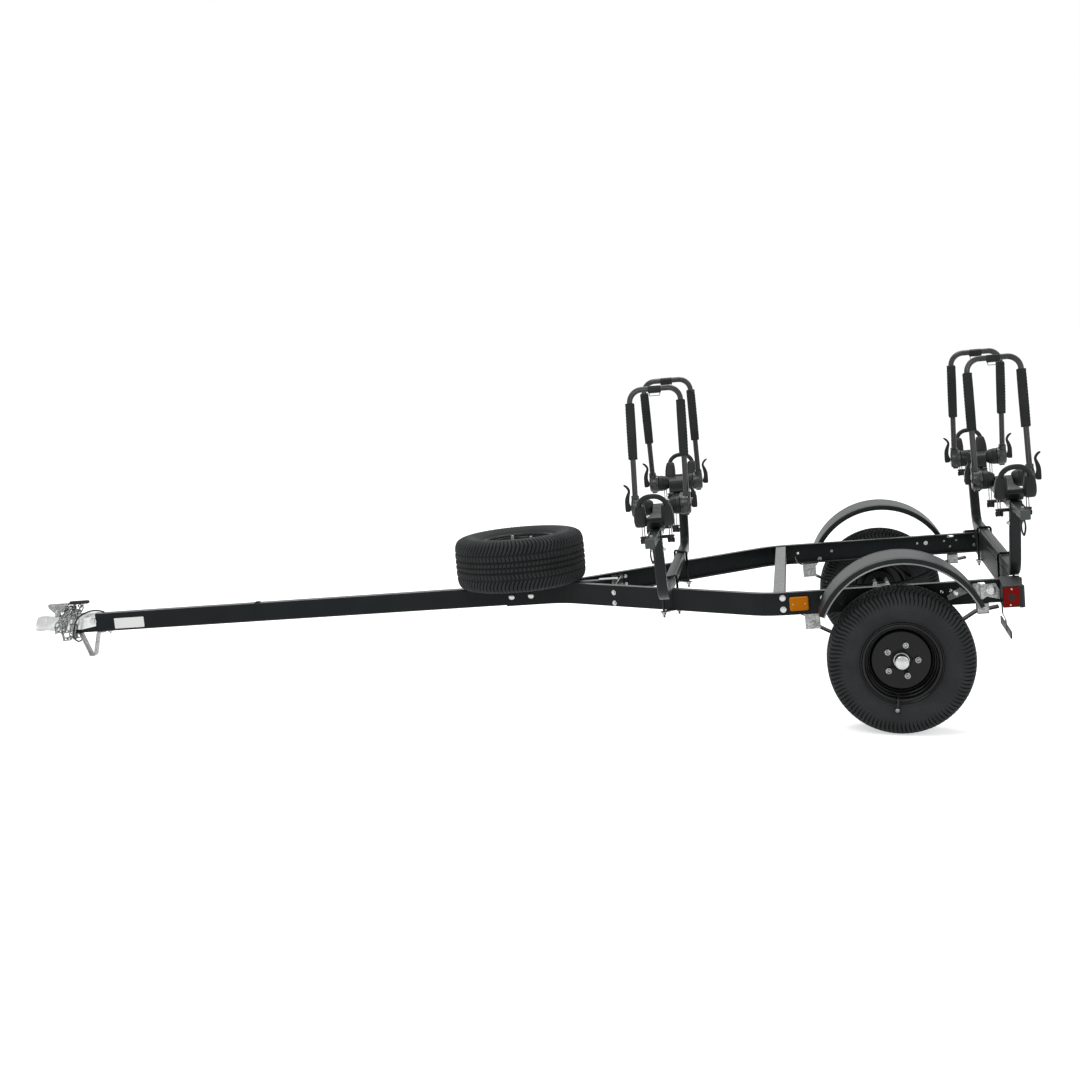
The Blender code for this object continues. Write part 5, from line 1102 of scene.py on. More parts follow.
def foam_sleeve(leg, out, settings):
    """Foam sleeve: a soft square section that swells between its ends, ribbed down one side."""
    t = np.linspace(0, 1, 91)[:, None]
    angle, power = 2 * np.pi * np.arange(40) / 40, 4.5
    c, s = np.cos(angle), np.sin(angle)
    square = (np.abs(c) ** power + np.abs(s) ** power) ** (-1 / power)
    from_end = np.minimum(t, 1 - t)
    swell = 0.955 + settings.pad_swell * np.sin(np.pi * t) ** 0.5
    rolled = 0.045 * np.exp(-((from_end - 0.012) / 0.01) ** 2)
    ribs = 1 - np.clip(np.sin(2 * np.pi * 17 * t) * 1.5, -1, 1) * (from_end > 0.05)
    size = PAD_W / 2 * (swell + rolled) * square - 0.0009 * np.clip(c * out, 0, 1) ** 4 * ribs
    hole = np.full((1, len(angle)), ARM_TUBE_R * 1.04)
    size = np.concatenate([hole, size, hole])
    t = np.concatenate([t[:1], t, t[-1:]])
    place = leg + (PAD_LOW + t * PAD_LEN) * ARM_UP
    points = place[:, None] + (size * c)[..., None] * X + (size * s)[..., None] * ARM_SIDE
    return grid(points, around=True, caps=True)


def strap_clip(origin):
    """Moulded saddle under the top of the arm and its wire staple."""
    top = origin + ARM_UP * (ARM_LEN - 0.005)
    steps = [(-0.024, 0.88), (-0.022, 1), (0.022, 1), (0.024, 0.88)]
    saddle = stepped(top, X, rounded_rect(0.024, 0.027, 0.007, 5), steps, ARM_SIDE)
    return saddle, hoop(top, 0.02, -ARM_UP, 0.008, 0.024, 0.003, 4, ring(0.0013, 10))


def cam_lever(origin, end):
    """Hooked lever and its pin: a crescent on a squared foot, drawn in to a thin tip that hooks outwards."""
    outline = smooth([
        (-0.0096, -0.008), (-0.0062, -0.011), (0, -0.0118), (0.007, -0.0116), (0.0098, -0.01),
        (0.0105, -0.005), (0.0108, 0.012), (0.0102, 0.03), (0.0064, 0.045), (0.0004, 0.058),
        (-0.003, 0.0655), (-0.0002, 0.0735), (0.0056, 0.0806), (0.0116, 0.0868), (0.0108, 0.091),
        (0.0012, 0.0876), (-0.0068, 0.0793), (-0.0112, 0.069), (-0.0112, 0.06), (-0.0086, 0.048),
        (-0.0066, 0.036), (-0.0056, 0.024), (-0.0076, 0.013), (-0.0114, 0.004), (-0.012, -0.002),
    ], 120, closed=True)
    half = 0.0108 - 0.005 * np.clip(outline[:, 1] / 0.095, 0, 1)
    rows = np.array([np.stack([end * outline[:, 0], k * half, outline[:, 1]], -1) for k in ENDS])
    at = origin + end * LEVER_OFFSET * X
    return moved(grid(rows, around=True, caps=True), at), rod(at - 0.0118 * Y, at + 0.0118 * Y, 0.003, 16)


# Tongue end

def coupler(settings):
    """Pressed coupler: an arched section whose half width, crown, skirt and squareness run smoothly along X.

    Outer wall: y = half * cos(u), z = skirt + (crown - skirt) * sin(u), with cosine and sine raised to
    2 / squareness; the skirt flares outwards, and the side carries two long pressed ridges behind the ball.
    """
    stations = smooth([
        (-3.5745, 0.01, 0.206, 0.1815, 2.1), (-3.5715, 0.019, 0.218, 0.181, 2.1),
        (-3.564, 0.0262, 0.229, 0.18, 2.1), (-3.548, 0.0322, 0.2355, 0.178, 2.2),
        (-3.528, 0.034, 0.2368, 0.1765, 2.2), (-3.508, 0.0318, 0.233, 0.1755, 2.6),
        (-3.485, 0.0289, 0.231, 0.174, 4), (-3.45, 0.0288, 0.2355, 0.1725, 6),
        (-3.41, 0.0288, 0.2364, 0.172, 8), (-3.35, 0.0288, 0.2364, 0.172, 8),
        (-3.306, 0.0288, 0.2364, 0.1725, 8), (-3.2925, 0.0288, 0.2364, 0.183, 8),
    ], settings.coupler_steps)
    u = np.linspace(0, np.pi, 61)
    x, half, crown, skirt, square = (stations[:, k:k + 1] for k in range(5))
    c, s = (np.sign(v) * np.abs(v) ** (2 / square) for v in (np.cos(u), np.sin(u)))
    z = skirt + (crown - skirt) * s
    flare = 0.0042 * np.exp(-((z - skirt) / 0.0028)) * np.clip((-3.47 - x) / 0.02, 0, 1)
    ridge = np.exp(-((z - 0.1865) / 0.0035) ** 2) + np.exp(-((z - 0.22) / 0.0035) ** 2)
    ridge = 0.0019 * ridge * np.clip((x + 3.43) / 0.01, 0, 1) * np.clip((-3.306 - x) / 0.006, 0, 1)
    x = np.broadcast_to(x, z.shape)
    outer = np.stack([x, half * c + np.sign(c) * (flare + ridge), z], -1)
    wall = 0.0028
    inner = np.stack([x, (half - wall) * c, skirt + (crown - wall - skirt) * s], -1)
    return grid(np.concatenate([outer, inner[:, ::-1]], 1), around=True, caps=True)


def latch():
    """Latch: folded triangular cheeks over the coupler's lug, and the steel strip inside the grip."""
    rise = LATCH_RISE
    outline = [
        (-0.034, rise), (-0.0345, rise - 0.016), (-0.029, rise - 0.02), (-0.012, -0.005), (-0.006, -0.0075),
        (0.006, -0.0075), (0.012, -0.004), (0.04, rise - 0.016), (0.056, rise - 0.007), (0.056, rise),
    ]
    parts = [slab(outline, "Y", s * 0.0083, s * 0.0106) for s in ENDS]
    parts.append(block((-0.0342, 0.056), (-0.0104, 0.0104), (rise - 0.002, rise + 0.0004)))
    parts.append(block((-0.0345, -0.0325), (-0.0104, 0.0104), (rise - 0.0165, rise)))
    strip = [(0.05, 0, rise - 0.001), (0.075, 0, rise - 0.0008)]
    parts.append(tube(strip, rounded_rect(0.0185, 0.003, 0.001, 2), side=Y))
    return moved(merged(*parts), LATCH_PIVOT)


def latch_grip():
    """Vinyl dip over the lever's strip: a flat oval that rounds off at both ends."""
    t = np.linspace(0, 1, 25)
    size = np.sqrt(1 - np.clip((t - 0.9) / 0.1, 0, 1) ** 2 * 0.85) * (1 - 0.1 * np.exp(-t / 0.03))
    middle, section = LATCH_PIVOT + (LATCH_RISE + 0.0006) * Z, rounded_rect(0.0215, 0.015, 0.0068, 6)
    return stepped(middle, X, section, np.stack([0.062 + 0.0865 * t, size], -1), Y)


def chain_route(turns, start, stretch, outward, rake=CHAIN_RAKE, middle=CHAIN_Z, half_h=CHAIN_HALF_H):
    """Squarish spiral round the coupler, leaning back at the top: cosine and sine raised to a low power."""
    t = np.linspace(0, 1, 3000)
    angle = 2 * np.pi * turns * t + start
    c, s = (np.sign(v) * np.abs(v) ** CHAIN_POWER for v in (np.cos(angle), np.sin(angle)))
    z = (half_h + outward) * s
    x = stretch[0] + (stretch[1] - stretch[0]) * t + rake * z
    return np.stack([x, (CHAIN_HALF_W + outward) * c, middle + z], -1)


def chain(route, settings):
    """Oval links strung along a route, each turned a quarter from the last."""
    centres = [route[0]]
    for point in route:
        if np.linalg.norm(point - centres[-1]) >= CHAIN_PITCH:
            centres.append(centres[-1] + unit(point - centres[-1]) * CHAIN_PITCH)
    bend = np.linspace(-np.pi / 2, np.pi / 2, settings.link_steps)
    half = np.stack([CHAIN_STRAIGHT / 2 + CHAIN_LINK_R * np.cos(bend), CHAIN_LINK_R * np.sin(bend)], -1)
    oval = np.concatenate([half, -half])
    links = []
    for i, (here, there) in enumerate(zip(centres, centres[1:])):
        along, centre = unit(there - here), (here + there) / 2
        across = unit(np.cross(along, unit((0.0, centre[1], centre[2] - CHAIN_Z))))
        flat = unit(across + np.cross(across, along) * (1 if i % 2 else -1))
        path = centre + oval[:, :1] * along + oval[:, 1:] * flat
        links.append(tube(path, ring(CHAIN_WIRE_R, 10), side=np.cross(along, flat), closed=True))
    return merged(*links)


# Lights

def marker():
    """Side marker: (black base, amber lens with rounded edges, two screws)."""
    (x, z), y = MARKER_AT, RAIL_OUTER_Y + GAP
    base_steps = [(0, 1), (0.003, 1), (0.0042, 0.985)]
    lens_steps = [(0.0042, 0.97), (0.0115, 0.965), (0.014, 0.94), (0.0154, 0.9), (0.0159, 0.82)]
    base = stepped((x, y, z), Y, rounded_rect(*MARKER_SIZE, 0.005), base_steps, Z)
    lens = stepped((x, y, z), Y, rounded_rect(*MARKER_SIZE, 0.007), lens_steps, Z)
    screws = copies(carriage_head(0.0028, 0.001), [(x + k * 0.022, y + 0.0152, z) for k in ENDS], Y)
    return base, lens, merged(*screws)


def tail_light():
    """Tail light: (housing, its sloping lid, red lens round its outer rear corner, dark parts, screws)."""
    y0, y1 = RAIL_OUTER_Y + GAP, 0.7
    side, rear, t = y1 + GAP, 0.4348, 0.005
    outer = side + t
    housing = slab([(y0, 0.15), (y1, 0.15), (y1, 0.2262), (y0, 0.245)], "X", 0.366, 0.4345)
    lid = slab([(y0, 0.244), (y1, 0.2252), (y1, 0.227), (y0, 0.2464)], "X", 0.3654, 0.4351)
    lens = slab([
        (0.368, side), (rear, side), (rear, y0 + 0.004), (rear + t, y0 + 0.004), (rear + t, side - 0.004),
        (rear + t - 0.0014, side - 0.001), (rear + t - 0.005, side + 0.0012), (0.424, outer - 0.0008),
        (0.42, outer), (0.368, outer),
    ], "Z", 0.154, 0.2238)
    strip = slab([(0.421, side + 0.0046), (0.4215, side + 0.0056), (0.433, side + 0.0054),
                  (0.4408, side - 0.002), (0.4408, side - 0.0085), (0.4385, side - 0.009)],
                 "Z", 0.1485, 0.2262)
    square = slab(rounded_rect(0.02, 0.022, 0.003) + (0.395, 0.1875), "Y", outer - 0.001, outer + 0.0002)
    screws = copies(carriage_head(0.003, 0.0006), [(0.396, outer, 0.216), (0.39, outer, 0.16)], Y)
    return housing, lid, lens, merged(square, strip), merged(*screws)


# Settings shown in the panel

class TrailerColours(bpy.types.PropertyGroup):
    """Colours that the finishes are mixed from."""

    __annotations__ = {
        key: FloatVectorProperty(name=name, description=use, subtype="COLOR", size=3, default=colour)
        for key, name, use, colour in (
            ("coat", "Frame coat", "Powder coat of the frame", (0.0085, 0.0108, 0.0115)),
            ("rim", "Rim paint", "Gloss paint of the rims", (0.0040, 0.0041, 0.0042)),
            ("rubber", "Tyre rubber", "Rubber of the tyres", (0.0200, 0.0215, 0.0225)),
            ("plastic", "Moulded plastic", "Plastic of the cradles", (0.0105, 0.0115, 0.0117)),
            ("foam", "Foam", "Foam sleeves of the cradle arms", (0.0260, 0.0275, 0.0280)),
            ("arm", "Arms", "Plastic of the folding arms", (0.0180, 0.0190, 0.0195)),
            # The fender lip's pale grey is a painted highlight along the rolled edge.
            ("lip", "Fender lip", "Painted highlight along the fenders' rolled lip", (0.1600, 0.1650, 0.1660)),
            ("caps", "Bar caps", "Caps in the crossbars", (0.0520, 0.0570, 0.0570)),
            ("zinc", "Zinc", "Plated fittings", (0.46, 0.47, 0.465)),
            ("amber", "Amber lens", "Side markers", (0.56, 0.170, 0.002)),
            ("red", "Red lens", "Tail lights", (0.190, 0.0035, 0.0012)),
        )
    }


class TrailerSizes(bpy.types.PropertyGroup):
    """Sizes and counts that a user may change."""

    tread_pitches: IntProperty(name="Tread pitches", description="Slots round a tyre", default=99, min=40)
    tread_depth: FloatProperty(name="Tread depth", description="Depth of the tread's grooves", default=0.0052,
                               unit="LENGTH")
    pad_swell: FloatProperty(name="Pad swell", description="Swell of the foam between its ends, as a share",
                             default=0.055)
    link_steps: IntProperty(name="Link steps", description="Points round a link's end", default=7, min=3)
    coupler_steps: IntProperty(name="Coupler stations", description="Sections along the coupler", default=90,
                               min=20)
    floor_size: FloatProperty(name="Floor", description="Side of the floor", default=80.0, unit="LENGTH")


class Maker:
    """Shared base: every operator builds its pieces and finishes, or raises the error it met."""

    bl_options = {"REGISTER", "UNDO"}

    def execute(self, context):
        self.make(context.scene)
        return {"FINISHED"}


class TRAILER_OT_stage(Maker, bpy.types.Operator):
    """Camera at the photograph's viewpoint, pale floor, white surroundings and soft lamps"""

    bl_idname = "trailer.stage"
    bl_label = "Stage"

    def make(self, scene):
        forward = np.array((-math.sin(CAMERA_YAW), math.cos(CAMERA_YAW), 0.0))
        across = np.array((math.cos(CAMERA_YAW), math.sin(CAMERA_YAW), 0.0))
        look = forward * math.cos(CAMERA_PITCH) - Z * math.sin(CAMERA_PITCH)
        above = Z * math.cos(CAMERA_PITCH) + forward * math.sin(CAMERA_PITCH)
        right = across * math.cos(CAMERA_ROLL) + above * math.sin(CAMERA_ROLL)
        top = above * math.cos(CAMERA_ROLL) - across * math.sin(CAMERA_ROLL)
        place = np.eye(4)
        place[:3, :3] = (np.stack([right, top, -look]) @ CHASSIS_AXES).T
        place[:3, 3] = AXLE_CENTRE + CAMERA_AT @ CHASSIS_AXES
        data = bpy.data.cameras.new("viewpoint")
        data.lens = CAMERA_LENS
        data.sensor_width = CAMERA_SENSOR
        data.clip_end = CAMERA_REACH
        camera = bpy.data.objects.new("viewpoint", data)
        scene.collection.objects.link(camera)
        camera.matrix_world = Matrix(place.tolist())
        scene.camera = camera
        self.floor(scene)
        self.surroundings(scene)
        for name, at, size, power in LAMPS:
            lamp = bpy.data.lights.new(name, "AREA")
            lamp.shape = "DISK"
            lamp.size = size
            lamp.energy = power
            made = bpy.data.objects.new(name, lamp)
            scene.collection.objects.link(made)
            made.location = at
            made.rotation_euler = (LAMP_TARGET - Vector(at)).to_track_quat("-Z", "Y").to_euler()
        scene.view_settings.view_transform = "Standard"

    def floor(self, scene):
        half = scene.trailer_sizes.floor_size / 2
        mesh = bpy.data.meshes.new("floor")
        corners = [(-half, -half, 0), (half, -half, 0), (half, half, 0), (-half, half, 0)]
        mesh.from_pydata(corners, [], [(0, 1, 2, 3)])
        made = bpy.data.materials.new("pale_floor")
        made.use_nodes = True
        tree = made.node_tree
        tree.nodes.clear()
        paint = node(tree, "BsdfDiffuse", {"Color": FLOOR_PAINT}).outputs["BSDF"]
        glow = node(tree, "Emission", {"Color": WHITE, "Strength": FLOOR_GLOW}).outputs["Emission"]
        seen = seen_by(tree, "Is Camera Ray", "Is Glossy Ray")
        lit = node(tree, "AddShader", {0: paint, 1: glow}).outputs["Shader"]
        mix = node(tree, "MixShader", {0: seen, 1: paint, 2: lit}).outputs["Shader"]
        node(tree, "OutputMaterial", {"Surface": mix})
        mesh.materials.append(made)
        floor = bpy.data.objects.new("floor", mesh)
        scene.collection.objects.link(floor)

    def surroundings(self, scene):
        world = bpy.data.worlds.new("surroundings")
        world.use_nodes = True
        tree = world.node_tree
        tree.nodes.clear()
        seen = seen_by(tree, "Is Camera Ray", "Is Glossy Ray", "Is Transmission Ray")
        plain, white = (node(tree, "Background", {"Color": WHITE, "Strength": strength}).outputs["Background"]
                        for strength in (WORLD_LIGHT, 1.0))
        mix = node(tree, "MixShader", {0: seen, 1: plain, 2: white}).outputs["Shader"]
        node(tree, "OutputWorld", {"Surface": mix})
        scene.world = world


class TRAILER_OT_wiring(Maker, bpy.types.Operator):
    """Wiring lead round the chains, its flat plug, and the clipped wires behind each marker"""

    bl_idname = "trailer.wiring"
    bl_label = "Wiring"

    def make(self, scene):
        mix_finishes()
        route = smooth(WIRE_ROUTE, 64)
        lead, world = curve_piece("wiring_lead_cord", route, WIRE_R, "cable_jacket")
        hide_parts("wiring_lead")
        end, along = route[-1], unit(route[-1] - route[-2])
        steps = [(0.0005, 0.55), (0.004, 0.8), (0.01, 0.97), (0.026, 1), (0.0285, 0.97), (0.0298, 0.88)]
        plug = stepped(end, along, rounded_rect(0.026, 0.009, 0.0025), steps, X)
        rib = rounded_rect(0.0268, 0.0098, 0.0025)
        ribs = [stepped(end, along, rib, [(k, 1), (k + 0.0016, 1)], X) for k in (0.011, 0.0145, 0.018)]
        pins = [rod(end + along * 0.0295 + dx * X, end + along * 0.0303 + dx * X, 0.0021)
                for dx in (-0.0085, -0.0028, 0.0028, 0.0085)]
        body = piece("wiring_plug_shell", merged(plug, *ribs), "moulded_plastic", replaces=["wiring_plug"])
        contacts = piece("wiring_plug_contacts", merged(*pins), "bright_zinc")
        inner = np.array((0.0, RAIL_OUTER_Y - RAIL_T, 0.0))
        routes = []
        for dx, dz in ((0.0, 0.0), (0.004, 0.0045)):
            bends = [(-0.342, 0, 0.19), (-0.352, -0.006, 0.18), (-0.34 + dx, -0.009, 0.155 + dz),
                     (-0.3, -0.01, 0.141 + dz), (-0.272 - dx, -0.009, 0.142 + dz), (-0.252, -0.006, 0.16),
                     (-0.2505, -0.004, 0.1649)]
            routes.append(smooth(inner + bends, 60))
        hook = [(-0.3557, -0.002, 0.1806), (-0.345, -0.0125, 0.156), (-0.31, -0.0135, 0.1395),
                (-0.2731, -0.0125, 0.1365), (-0.262, -0.008, 0.15), (-0.2505, -0.001, 0.1649)]
        bolt = aim(hex_bolt(0.01, 0.004, 0.0012), inner + (-0.2505, 0, 0.1649), -Y)
        clip = merged(tube(smooth(inner + hook, 60), ring(0.0013, 10), side=Y), bolt)
        for side, sign in SIDES.items():
            wires = [tube(route * (1, sign, 1), ring(0.0019, 10), side=Y) for route in routes]
            pieces(side + "_marker_", (
                ("wires", merged(*wires), "cable_jacket"),
                ("wire_clip", clip, "zinc_plate", {"mirror": sign}),
            ))


class TRAILER_OT_chain(Maker, bpy.types.Operator):
    """Safety chains wound on the coupler; the first strand stands for the frame's own"""

    bl_idname = "trailer.chain"
    bl_label = "Safety chains"

    def make(self, scene):
        for name, lay, front in CHAINS:
            links = chain(chain_route(*lay, **front), scene.trailer_sizes)
            nodes = ["safety_chain"] if name == "safety_chain_links" else []
            piece(name, links, "chain_zinc", replaces=nodes, sharp=60)


class TRAILER_OT_wheels(Maker, bpy.types.Operator):
    """Road wheels, hubs and nuts, and the spare on its hat-shaped mount"""

    bl_idname = "trailer.wheels"
    bl_label = "Wheels"

    def make(self, scene):
        settings = scene.trailer_sizes
        for side, sign in SIDES.items():
            centre, out = sign * TRACK_HALF * Y, sign * Y
            dress_wheel(side, side + "_wheel", centre, out, X, settings)
            barrel, cap = (aim(part, centre, out) for part in hub())
            pieces(side + "_", (
                ("hub_barrel", barrel, "satin_coat", {"replaces": ["hub"], "sharp": 40}),
                ("dust_cap", cap, "bright_zinc", {"sharp": 40}),
                ("wheel_nuts", merged(*copies(wheel_nut(), stud_places(centre, out, X), out)), "chain_zinc"),
            ), body=side + "_wheel")
        dress_wheel("spare", "frame", SPARE_CENTRE, Z, SPARE_SPIN, settings, SPARE_SWELL, VALVE_ROUTE[:2])
        foot, head = RAIL_TOP + 0.0028, SPARE_CENTRE[2] + DISC_FACE - 0.0063
        corners = ((-0.072, foot), (-0.04, foot), (-0.04, head), (0.04, head), (0.04, foot), (0.072, foot))
        hat = hat_strap([(SPARE_CENTRE[0] + x, 0.0, z) for x, z in corners], 0.13, 0.005)
        piece("spare_mount_hat", hat, "satin_coat", replaces=["spare_mount"], bevel=0.0006)
        spots = [(SPARE_CENTRE[0] + x, y, foot + 0.0025) for x in (-0.058, 0.058) for y in (-0.018, 0.018)]
        bolts = copies(hex_bolt(*FRAME_BOLT), spots, Z)
        bolts += copies(merged(wheel_nut(), bolt_end(0.0055, SPARE_STUD)),
                        stud_places(SPARE_CENTRE, Z, SPARE_SPIN)[[0, 2]], Z)
        piece("spare_mount_nuts", merged(*bolts), "bright_zinc")


class TRAILER_OT_fenders(Maker, bpy.types.Operator):
    """Rolled fenders, their bolted brackets, and the zinc spring hangers"""

    bl_idname = "trailer.fenders"
    bl_label = "Fenders"

    def make(self, scene):
        front, rear, drilled = fender_brackets()
        for side, sign in SIDES.items():
            pieces(side + "_", (
                ("fender_sheet", fender(), "satin_coat", {"replaces": ["fender"], "sharp": 50}),
                # The lip's bead is pale grey: a painted highlight along the rolled edge.
                ("fender_lip", fender_lip(), "rolled_lip"),
                ("front_bracket", front, "satin_coat", {"bevel": 0.0004}),
                ("rear_bracket", rear, "zinc_plate", {"bevel": 0.0004}),
                ("drilled_plate", drilled, "galvanised", {"bevel": 0.0004}),
                ("spring_hangers", hangers(), "zinc_plate", {"bevel": 0.0005}),
            ), mirror=sign)


class TRAILER_OT_bars(Maker, bpy.types.Operator):
    """Load bars, crossbars, end caps, tie-down loops, U-bolts and spring clamps"""

    bl_idname = "trailer.bars"
    bl_label = "Bars and clamps"

    def make(self, scene):
        for name, (bar_x, bar_z) in BARS.items():
            cross_z = bar_z + CROSSBAR_RISE
            under, over = about(cross_z, CROSSBAR_SIZE / 2)
            pieces(name + "_", (
                ("goal_post", load_bar(bar_x, bar_z), "satin_coat",
                 {"replaces": ["load_bar"], "bevel": 0.0004}),
                ("cross_tube", crossbar(bar_x, cross_z), "satin_coat", {"replaces": ["crossbar"]}),
            ))
            tab = block(about(bar_x, 0.006), about(LOOP_Y, 0.009), (under - 0.0125, under))
            bow, ends = bar_clamp(name, bar_x, bar_z)
            bolt = merged(hex_bolt(*FRAME_BOLT), bolt_end(0.0038, 0.01))
            bolts = [aim(bolt, (bar_x + end * BAR_SIZE / 2, POST_TOP_Y - y, cross_z - z), end * X)
                     for y, z in ((0, 0), (0.0235, 0.064)) for end in ENDS]
            for side, sign in SIDES.items():
                pieces(f"{name}_{side}_", (
                    ("bar_cap", crossbar_cap(bar_x, cross_z), "cap_plastic"),
                    ("tie_loop", tie_loop(bar_x, LOOP_Y, under), "webbing", {"sharp": 60}),
                    ("loop_tab", tab, "satin_coat", {"bevel": 0.0008}),
                    ("loop_screw", aim(hex_bolt(0.009, 0.004), (bar_x, LOOP_Y, over), Z), "bright_zinc"),
                    ("clamp_bow", bow, "gloss_coat", {"replaces": ["u_bolt"]}),
                    ("clamp_plate", ends, "zinc_plate"),
                    ("post_bolts", merged(*bolts), "bright_zinc"),
                ), mirror=sign)
        for side, sign in SIDES.items():
            pieces(side + "_", (
                ("axle_bolts", spring_clamp(), "zinc_plate", {"replaces": ["spring_clamp"], "sharp": 40}),
            ), mirror=sign)


class TRAILER_OT_cradles(Maker, bpy.types.Operator):
    """Four J cradles with folding arms, foam sleeves, levers and clamps"""

    bl_idname = "trailer.cradles"
    bl_label = "Cradles"

    def make(self, scene):
        for name, (bar_x, bar_z) in BARS.items():
            cross_z = bar_z + CROSSBAR_RISE
            origin = np.array((bar_x, HINGE_Y, cross_z + HINGE_RISE))
            plates, bolts, knobs = clamp_hardware(bar_x, cross_z)
            saddle, staple = strap_clip(origin)
            for side, sign in SIDES.items():
                where = f"{name}_{side}_"
                arm = where + "cradle_arm"
                pieces(where, (
                    ("saddle", cradle_base(bar_x, cross_z), "moulded_plastic",
                     {"replaces": ["base"], "bevel": 0.0012}),
                    ("clamp_bars", plates, "moulded_plastic", {"bevel": 0.0006}),
                    ("clamp_studs", bolts, "bright_zinc"),
                    ("wing_knobs", knobs, "moulded_plastic", {"bevel": 0.0003}),
                    ("folding_arm", cradle_arm(origin), "arm_plastic", {"body": arm, "replaces": ["arm"]}),
                ), mirror=sign)
                for end, word in zip(ENDS, ("front", "rear")):
                    foam = foam_sleeve(origin + end * LEG_HALF * X, end, scene.trailer_sizes)
                    pad = piece(f"{where}{word}_sleeve", foam, "foam_skin", arm, sharp=60, mirror=sign)
                    hook, pin = cam_lever(origin, end)
                    pieces(f"{where}{word}_", (
                        ("hook", hook, "moulded_plastic", {"replaces": ["lever"], "bevel": 0.0012}),
                        ("hook_pin", pin, "satin_coat"),
                    ), mirror=sign, body=f"{where}{word}_cam")
                pieces(where, (
                    ("strap_saddle", saddle, "moulded_plastic", {"bevel": 0.0005}),
                    ("strap_staple", staple, "satin_coat"),
                ), mirror=sign, body=arm)


class TRAILER_OT_tongue(Maker, bpy.types.Operator):
    """Coupler, latch and grip, blank label and tongue fittings"""

    bl_idname = "trailer.tongue"
    bl_label = "Tongue end"

    def make(self, scene):
        px, _, pz = LATCH_PIVOT
        lug = slab([(px - 0.011, 0.23), (px + 0.011, 0.23), (px + 0.011, pz + 0.003),
                    (px + 0.007, pz + 0.009), (px - 0.007, pz + 0.009), (px - 0.011, pz + 0.003)],
                   "Y", -0.0075, 0.0075)
        heads = [aim(carriage_head(0.0065, 0.0018), LATCH_PIVOT + s * 0.0112 * Y, s * Y) for s in ENDS]
        rivet = merged(rod(LATCH_PIVOT - 0.013 * Y, LATCH_PIVOT + 0.013 * Y, 0.0038, 16), *heads)
        label = slab(rounded_rect(0.131, 0.044, 0.003) + (-3.145, FRAME_Z - 0.007), "Y",
                     *about(-TONGUE_HALF_W, 0.0004))
        bolts = [aim(hex_bolt(0.0165, 0.007, 0.0016), (-3.303, s * 0.03, 0.204), s * Y) for s in ENDS]
        nut = merged(hex_nut(0.0165, 0.008), bolt_end(0.0045, 0.013))
        bolts.append(aim(nut, (-3.244, 0, TONGUE_BOTTOM), -Z))
        clip = slab([(-2.595, TONGUE_TOP), (-2.59, TONGUE_TOP + 0.005), (-2.574, TONGUE_TOP + 0.005),
                     (-2.569, TONGUE_TOP)], "Y", -0.01, 0.01)
        level = np.array((REARWARD[0], 0.0, UPWARD[0]))
        plumb = np.array((-UPWARD[0], 0.0, REARWARD[0]))
        foot = np.array((STAND_X, 0.0, TONGUE_BOTTOM - STAND_DEPTH)) + plumb * STAND_T / 2
        seat = TONGUE_BOTTOM - GAP - STAND_T / 2
        bend = [(-3.405, 0, seat), (-3.376, 0, seat), foot - level * 0.009, foot + level * 0.009,
                (-3.296, 0, seat), (-3.262, 0, seat)]
        pieces("", (
            ("coupler_pressing", coupler(scene.trailer_sizes), "pressed_zinc",
             {"replaces": ["coupler_body"], "sharp": 50}),
            ("coupler_lug", lug, "zinc_plate", {"bevel": 0.0005}),
            ("latch_cheeks", latch(), "chain_zinc",
             {"body": "latch", "replaces": ["coupler_lever"], "bevel": 0.0003}),
            ("latch_rivet", rivet, "bright_zinc", {"body": "latch"}),
            ("latch_vinyl_grip", latch_grip(), "grip_vinyl", {"body": "latch"}),
            ("blank_label", label, "label_white"),
            ("coupler_bolt", merged(*bolts), "bright_zinc"),
            ("tongue_wire_clip", clip, "moulded_plastic", {"bevel": 0.0008}),
            ("bent_stand", hat_strap(bend, 0.04, STAND_T), "zinc_plate",
             {"replaces": ["tongue_stand"], "bevel": 0.0006}),
        ))


class TRAILER_OT_lights(Maker, bpy.types.Operator):
    """Side markers and tail lights"""

    bl_idname = "trailer.lights"
    bl_label = "Lights"

    def make(self, scene):
        base, amber, marker_screws = marker()
        housing, lid, red, dark, tail_screws = tail_light()
        for side, sign in SIDES.items():
            pieces(side + "_", (
                ("marker_base", base, "moulded_plastic"),
                ("marker_lens", amber, "amber_lens", {"replaces": ["side_marker"]}),
                ("marker_screws", marker_screws, "bright_zinc"),
                ("tail_housing", housing, "moulded_plastic",
                 {"replaces": ["tail_light_housing"], "bevel": 0.002}),
                ("tail_lens", red, "red_lens", {"replaces": ["tail_light_lens"], "bevel": 0.0008}),
                ("tail_lid", lid, "cap_plastic", {"bevel": 0.0006}),
                ("tail_square", dark, "moulded_plastic"),
                ("tail_screws", tail_screws, "bright_zinc"),
            ), mirror=sign)


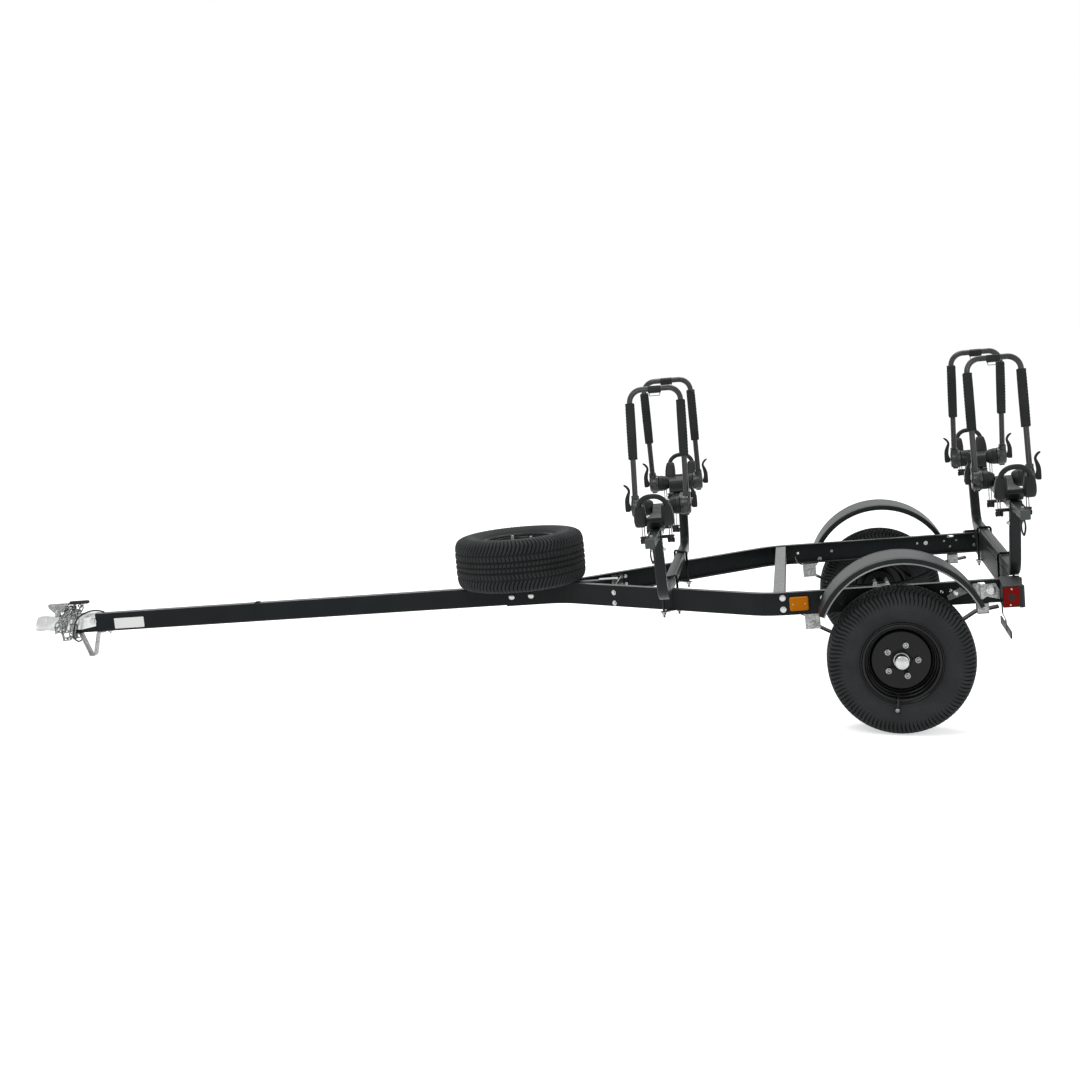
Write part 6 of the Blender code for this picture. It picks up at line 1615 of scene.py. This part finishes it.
class TRAILER_OT_fasteners(Maker, bpy.types.Operator):
    """Bolts of the frame, at the places the photograph shows, and their like on the other side"""

    bl_idname = "trailer.fasteners"
    bl_label = "Frame bolts"

    def make(self, scene):
        slope = unit((-RAIL_SLOPE, 1.0, 0.0))
        outer, inner = RAIL_OUTER_Y, RAIL_OUTER_Y - RAIL_T
        heads = []
        for part, y, out, *spots in (
                (carriage_head(0.013, 0.0055), RAIL_START_Y, Y, (-1.499, 0.191), (-1.4196, 0.191)),
                (hex_bolt(0.0115, 0.005, 0.0012), rail_y(-1.062), slope, (-1.062, 0.2085), (-1.062, 0.1665)),
                (merged(hex_nut(0.015, 0.007), bolt_end(0.004, 0.01)), rail_y(-1.055) - 0.0034, -slope,
                 (-1.055, 0.2123), (-1.055, 0.179)),
                (hex_bolt(*FRAME_BOLT), outer, Y, (-0.4, 0.2176), (-0.4, 0.1755), (-0.2541, 0.2096),
                 (-0.2541, 0.1886)),
                (carriage_head(0.0055, 0.0016), outer, Y, (0.1656, 0.2034), (0.1973, 0.208)),
                (hex_bolt(0.011, 0.0045, 0.0012), outer + 0.0025, Y, (0.2119, 0.1969)),
                (hex_bolt(0.019, 0.0072, 0.0022), outer + 0.0033, Y, (0.336, 0.201)),
                (hex_nut(0.0125, 0.006), inner - 0.0045, -Y, (-0.3985, 0.2172), (-0.3985, 0.1747)),
                (hex_nut(0.0125, 0.006), inner - 0.0036, -Y, (0.4, 0.22), (0.4, 0.183)),
                (hex_nut(0.0125, 0.0065), inner, -Y, (-0.198, 0.197)),
                (hex_nut(0.0165, 0.0065), inner, -Y, (0.1996, 0.2043)),
                (hex_nut(0.01, 0.0065), inner, -Y, (-0.3417, 0.1971))):
            heads += copies(part, [(x, y, z) for x, z in spots], out)
        for side, sign in SIDES.items():
            piece(side + "_frame_bolts", merged(*heads), "bright_zinc", mirror=sign)


class TRAILER_OT_frame_finish(Maker, bpy.types.Operator):
    """Finishes on the nodes of the frame that show as they are"""

    bl_idname = "trailer.frame_finish"
    bl_label = "Frame finishes"

    def make(self, scene):
        for name, look in FRAME_FINISHES.items():
            for held in frame["nodes"][name].material_slots:
                held.material = LOOKS[look]


OPERATORS = (
    TRAILER_OT_stage, TRAILER_OT_wiring, TRAILER_OT_chain, TRAILER_OT_wheels, TRAILER_OT_fenders,
    TRAILER_OT_bars, TRAILER_OT_cradles, TRAILER_OT_tongue, TRAILER_OT_lights, TRAILER_OT_fasteners,
    TRAILER_OT_frame_finish,
)


class TRAILER_PT_panel(bpy.types.Panel):
    """Lists the trailer's colours, sizes and operators"""

    bl_label = "Kayak trailer"
    bl_idname = "TRAILER_PT_panel"
    bl_space_type = "VIEW_3D"
    bl_region_type = "UI"
    bl_category = "Trailer"

    def draw(self, context):
        for group in (context.scene.trailer_colours, context.scene.trailer_sizes):
            box = self.layout.box()
            for name in group.__annotations__:
                box.prop(group, name)
        for operator in OPERATORS:
            self.layout.operator(operator.bl_idname)


CLASSES = (TrailerColours, TrailerSizes, *OPERATORS, TRAILER_PT_panel)


def register():
    for entry in CLASSES:
        bpy.utils.register_class(entry)
    bpy.types.Scene.trailer_colours = PointerProperty(type=TrailerColours)
    bpy.types.Scene.trailer_sizes = PointerProperty(type=TrailerSizes)


def unregister():
    del bpy.types.Scene.trailer_sizes
    del bpy.types.Scene.trailer_colours
    for entry in reversed(CLASSES):
        bpy.utils.unregister_class(entry)


def main():
    """Register the add-on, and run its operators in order."""
    register()
    for operator in OPERATORS:
        group, name = operator.bl_idname.split(".")
        getattr(getattr(bpy.ops, group), name)()


if __name__ == "__main__":
    main()
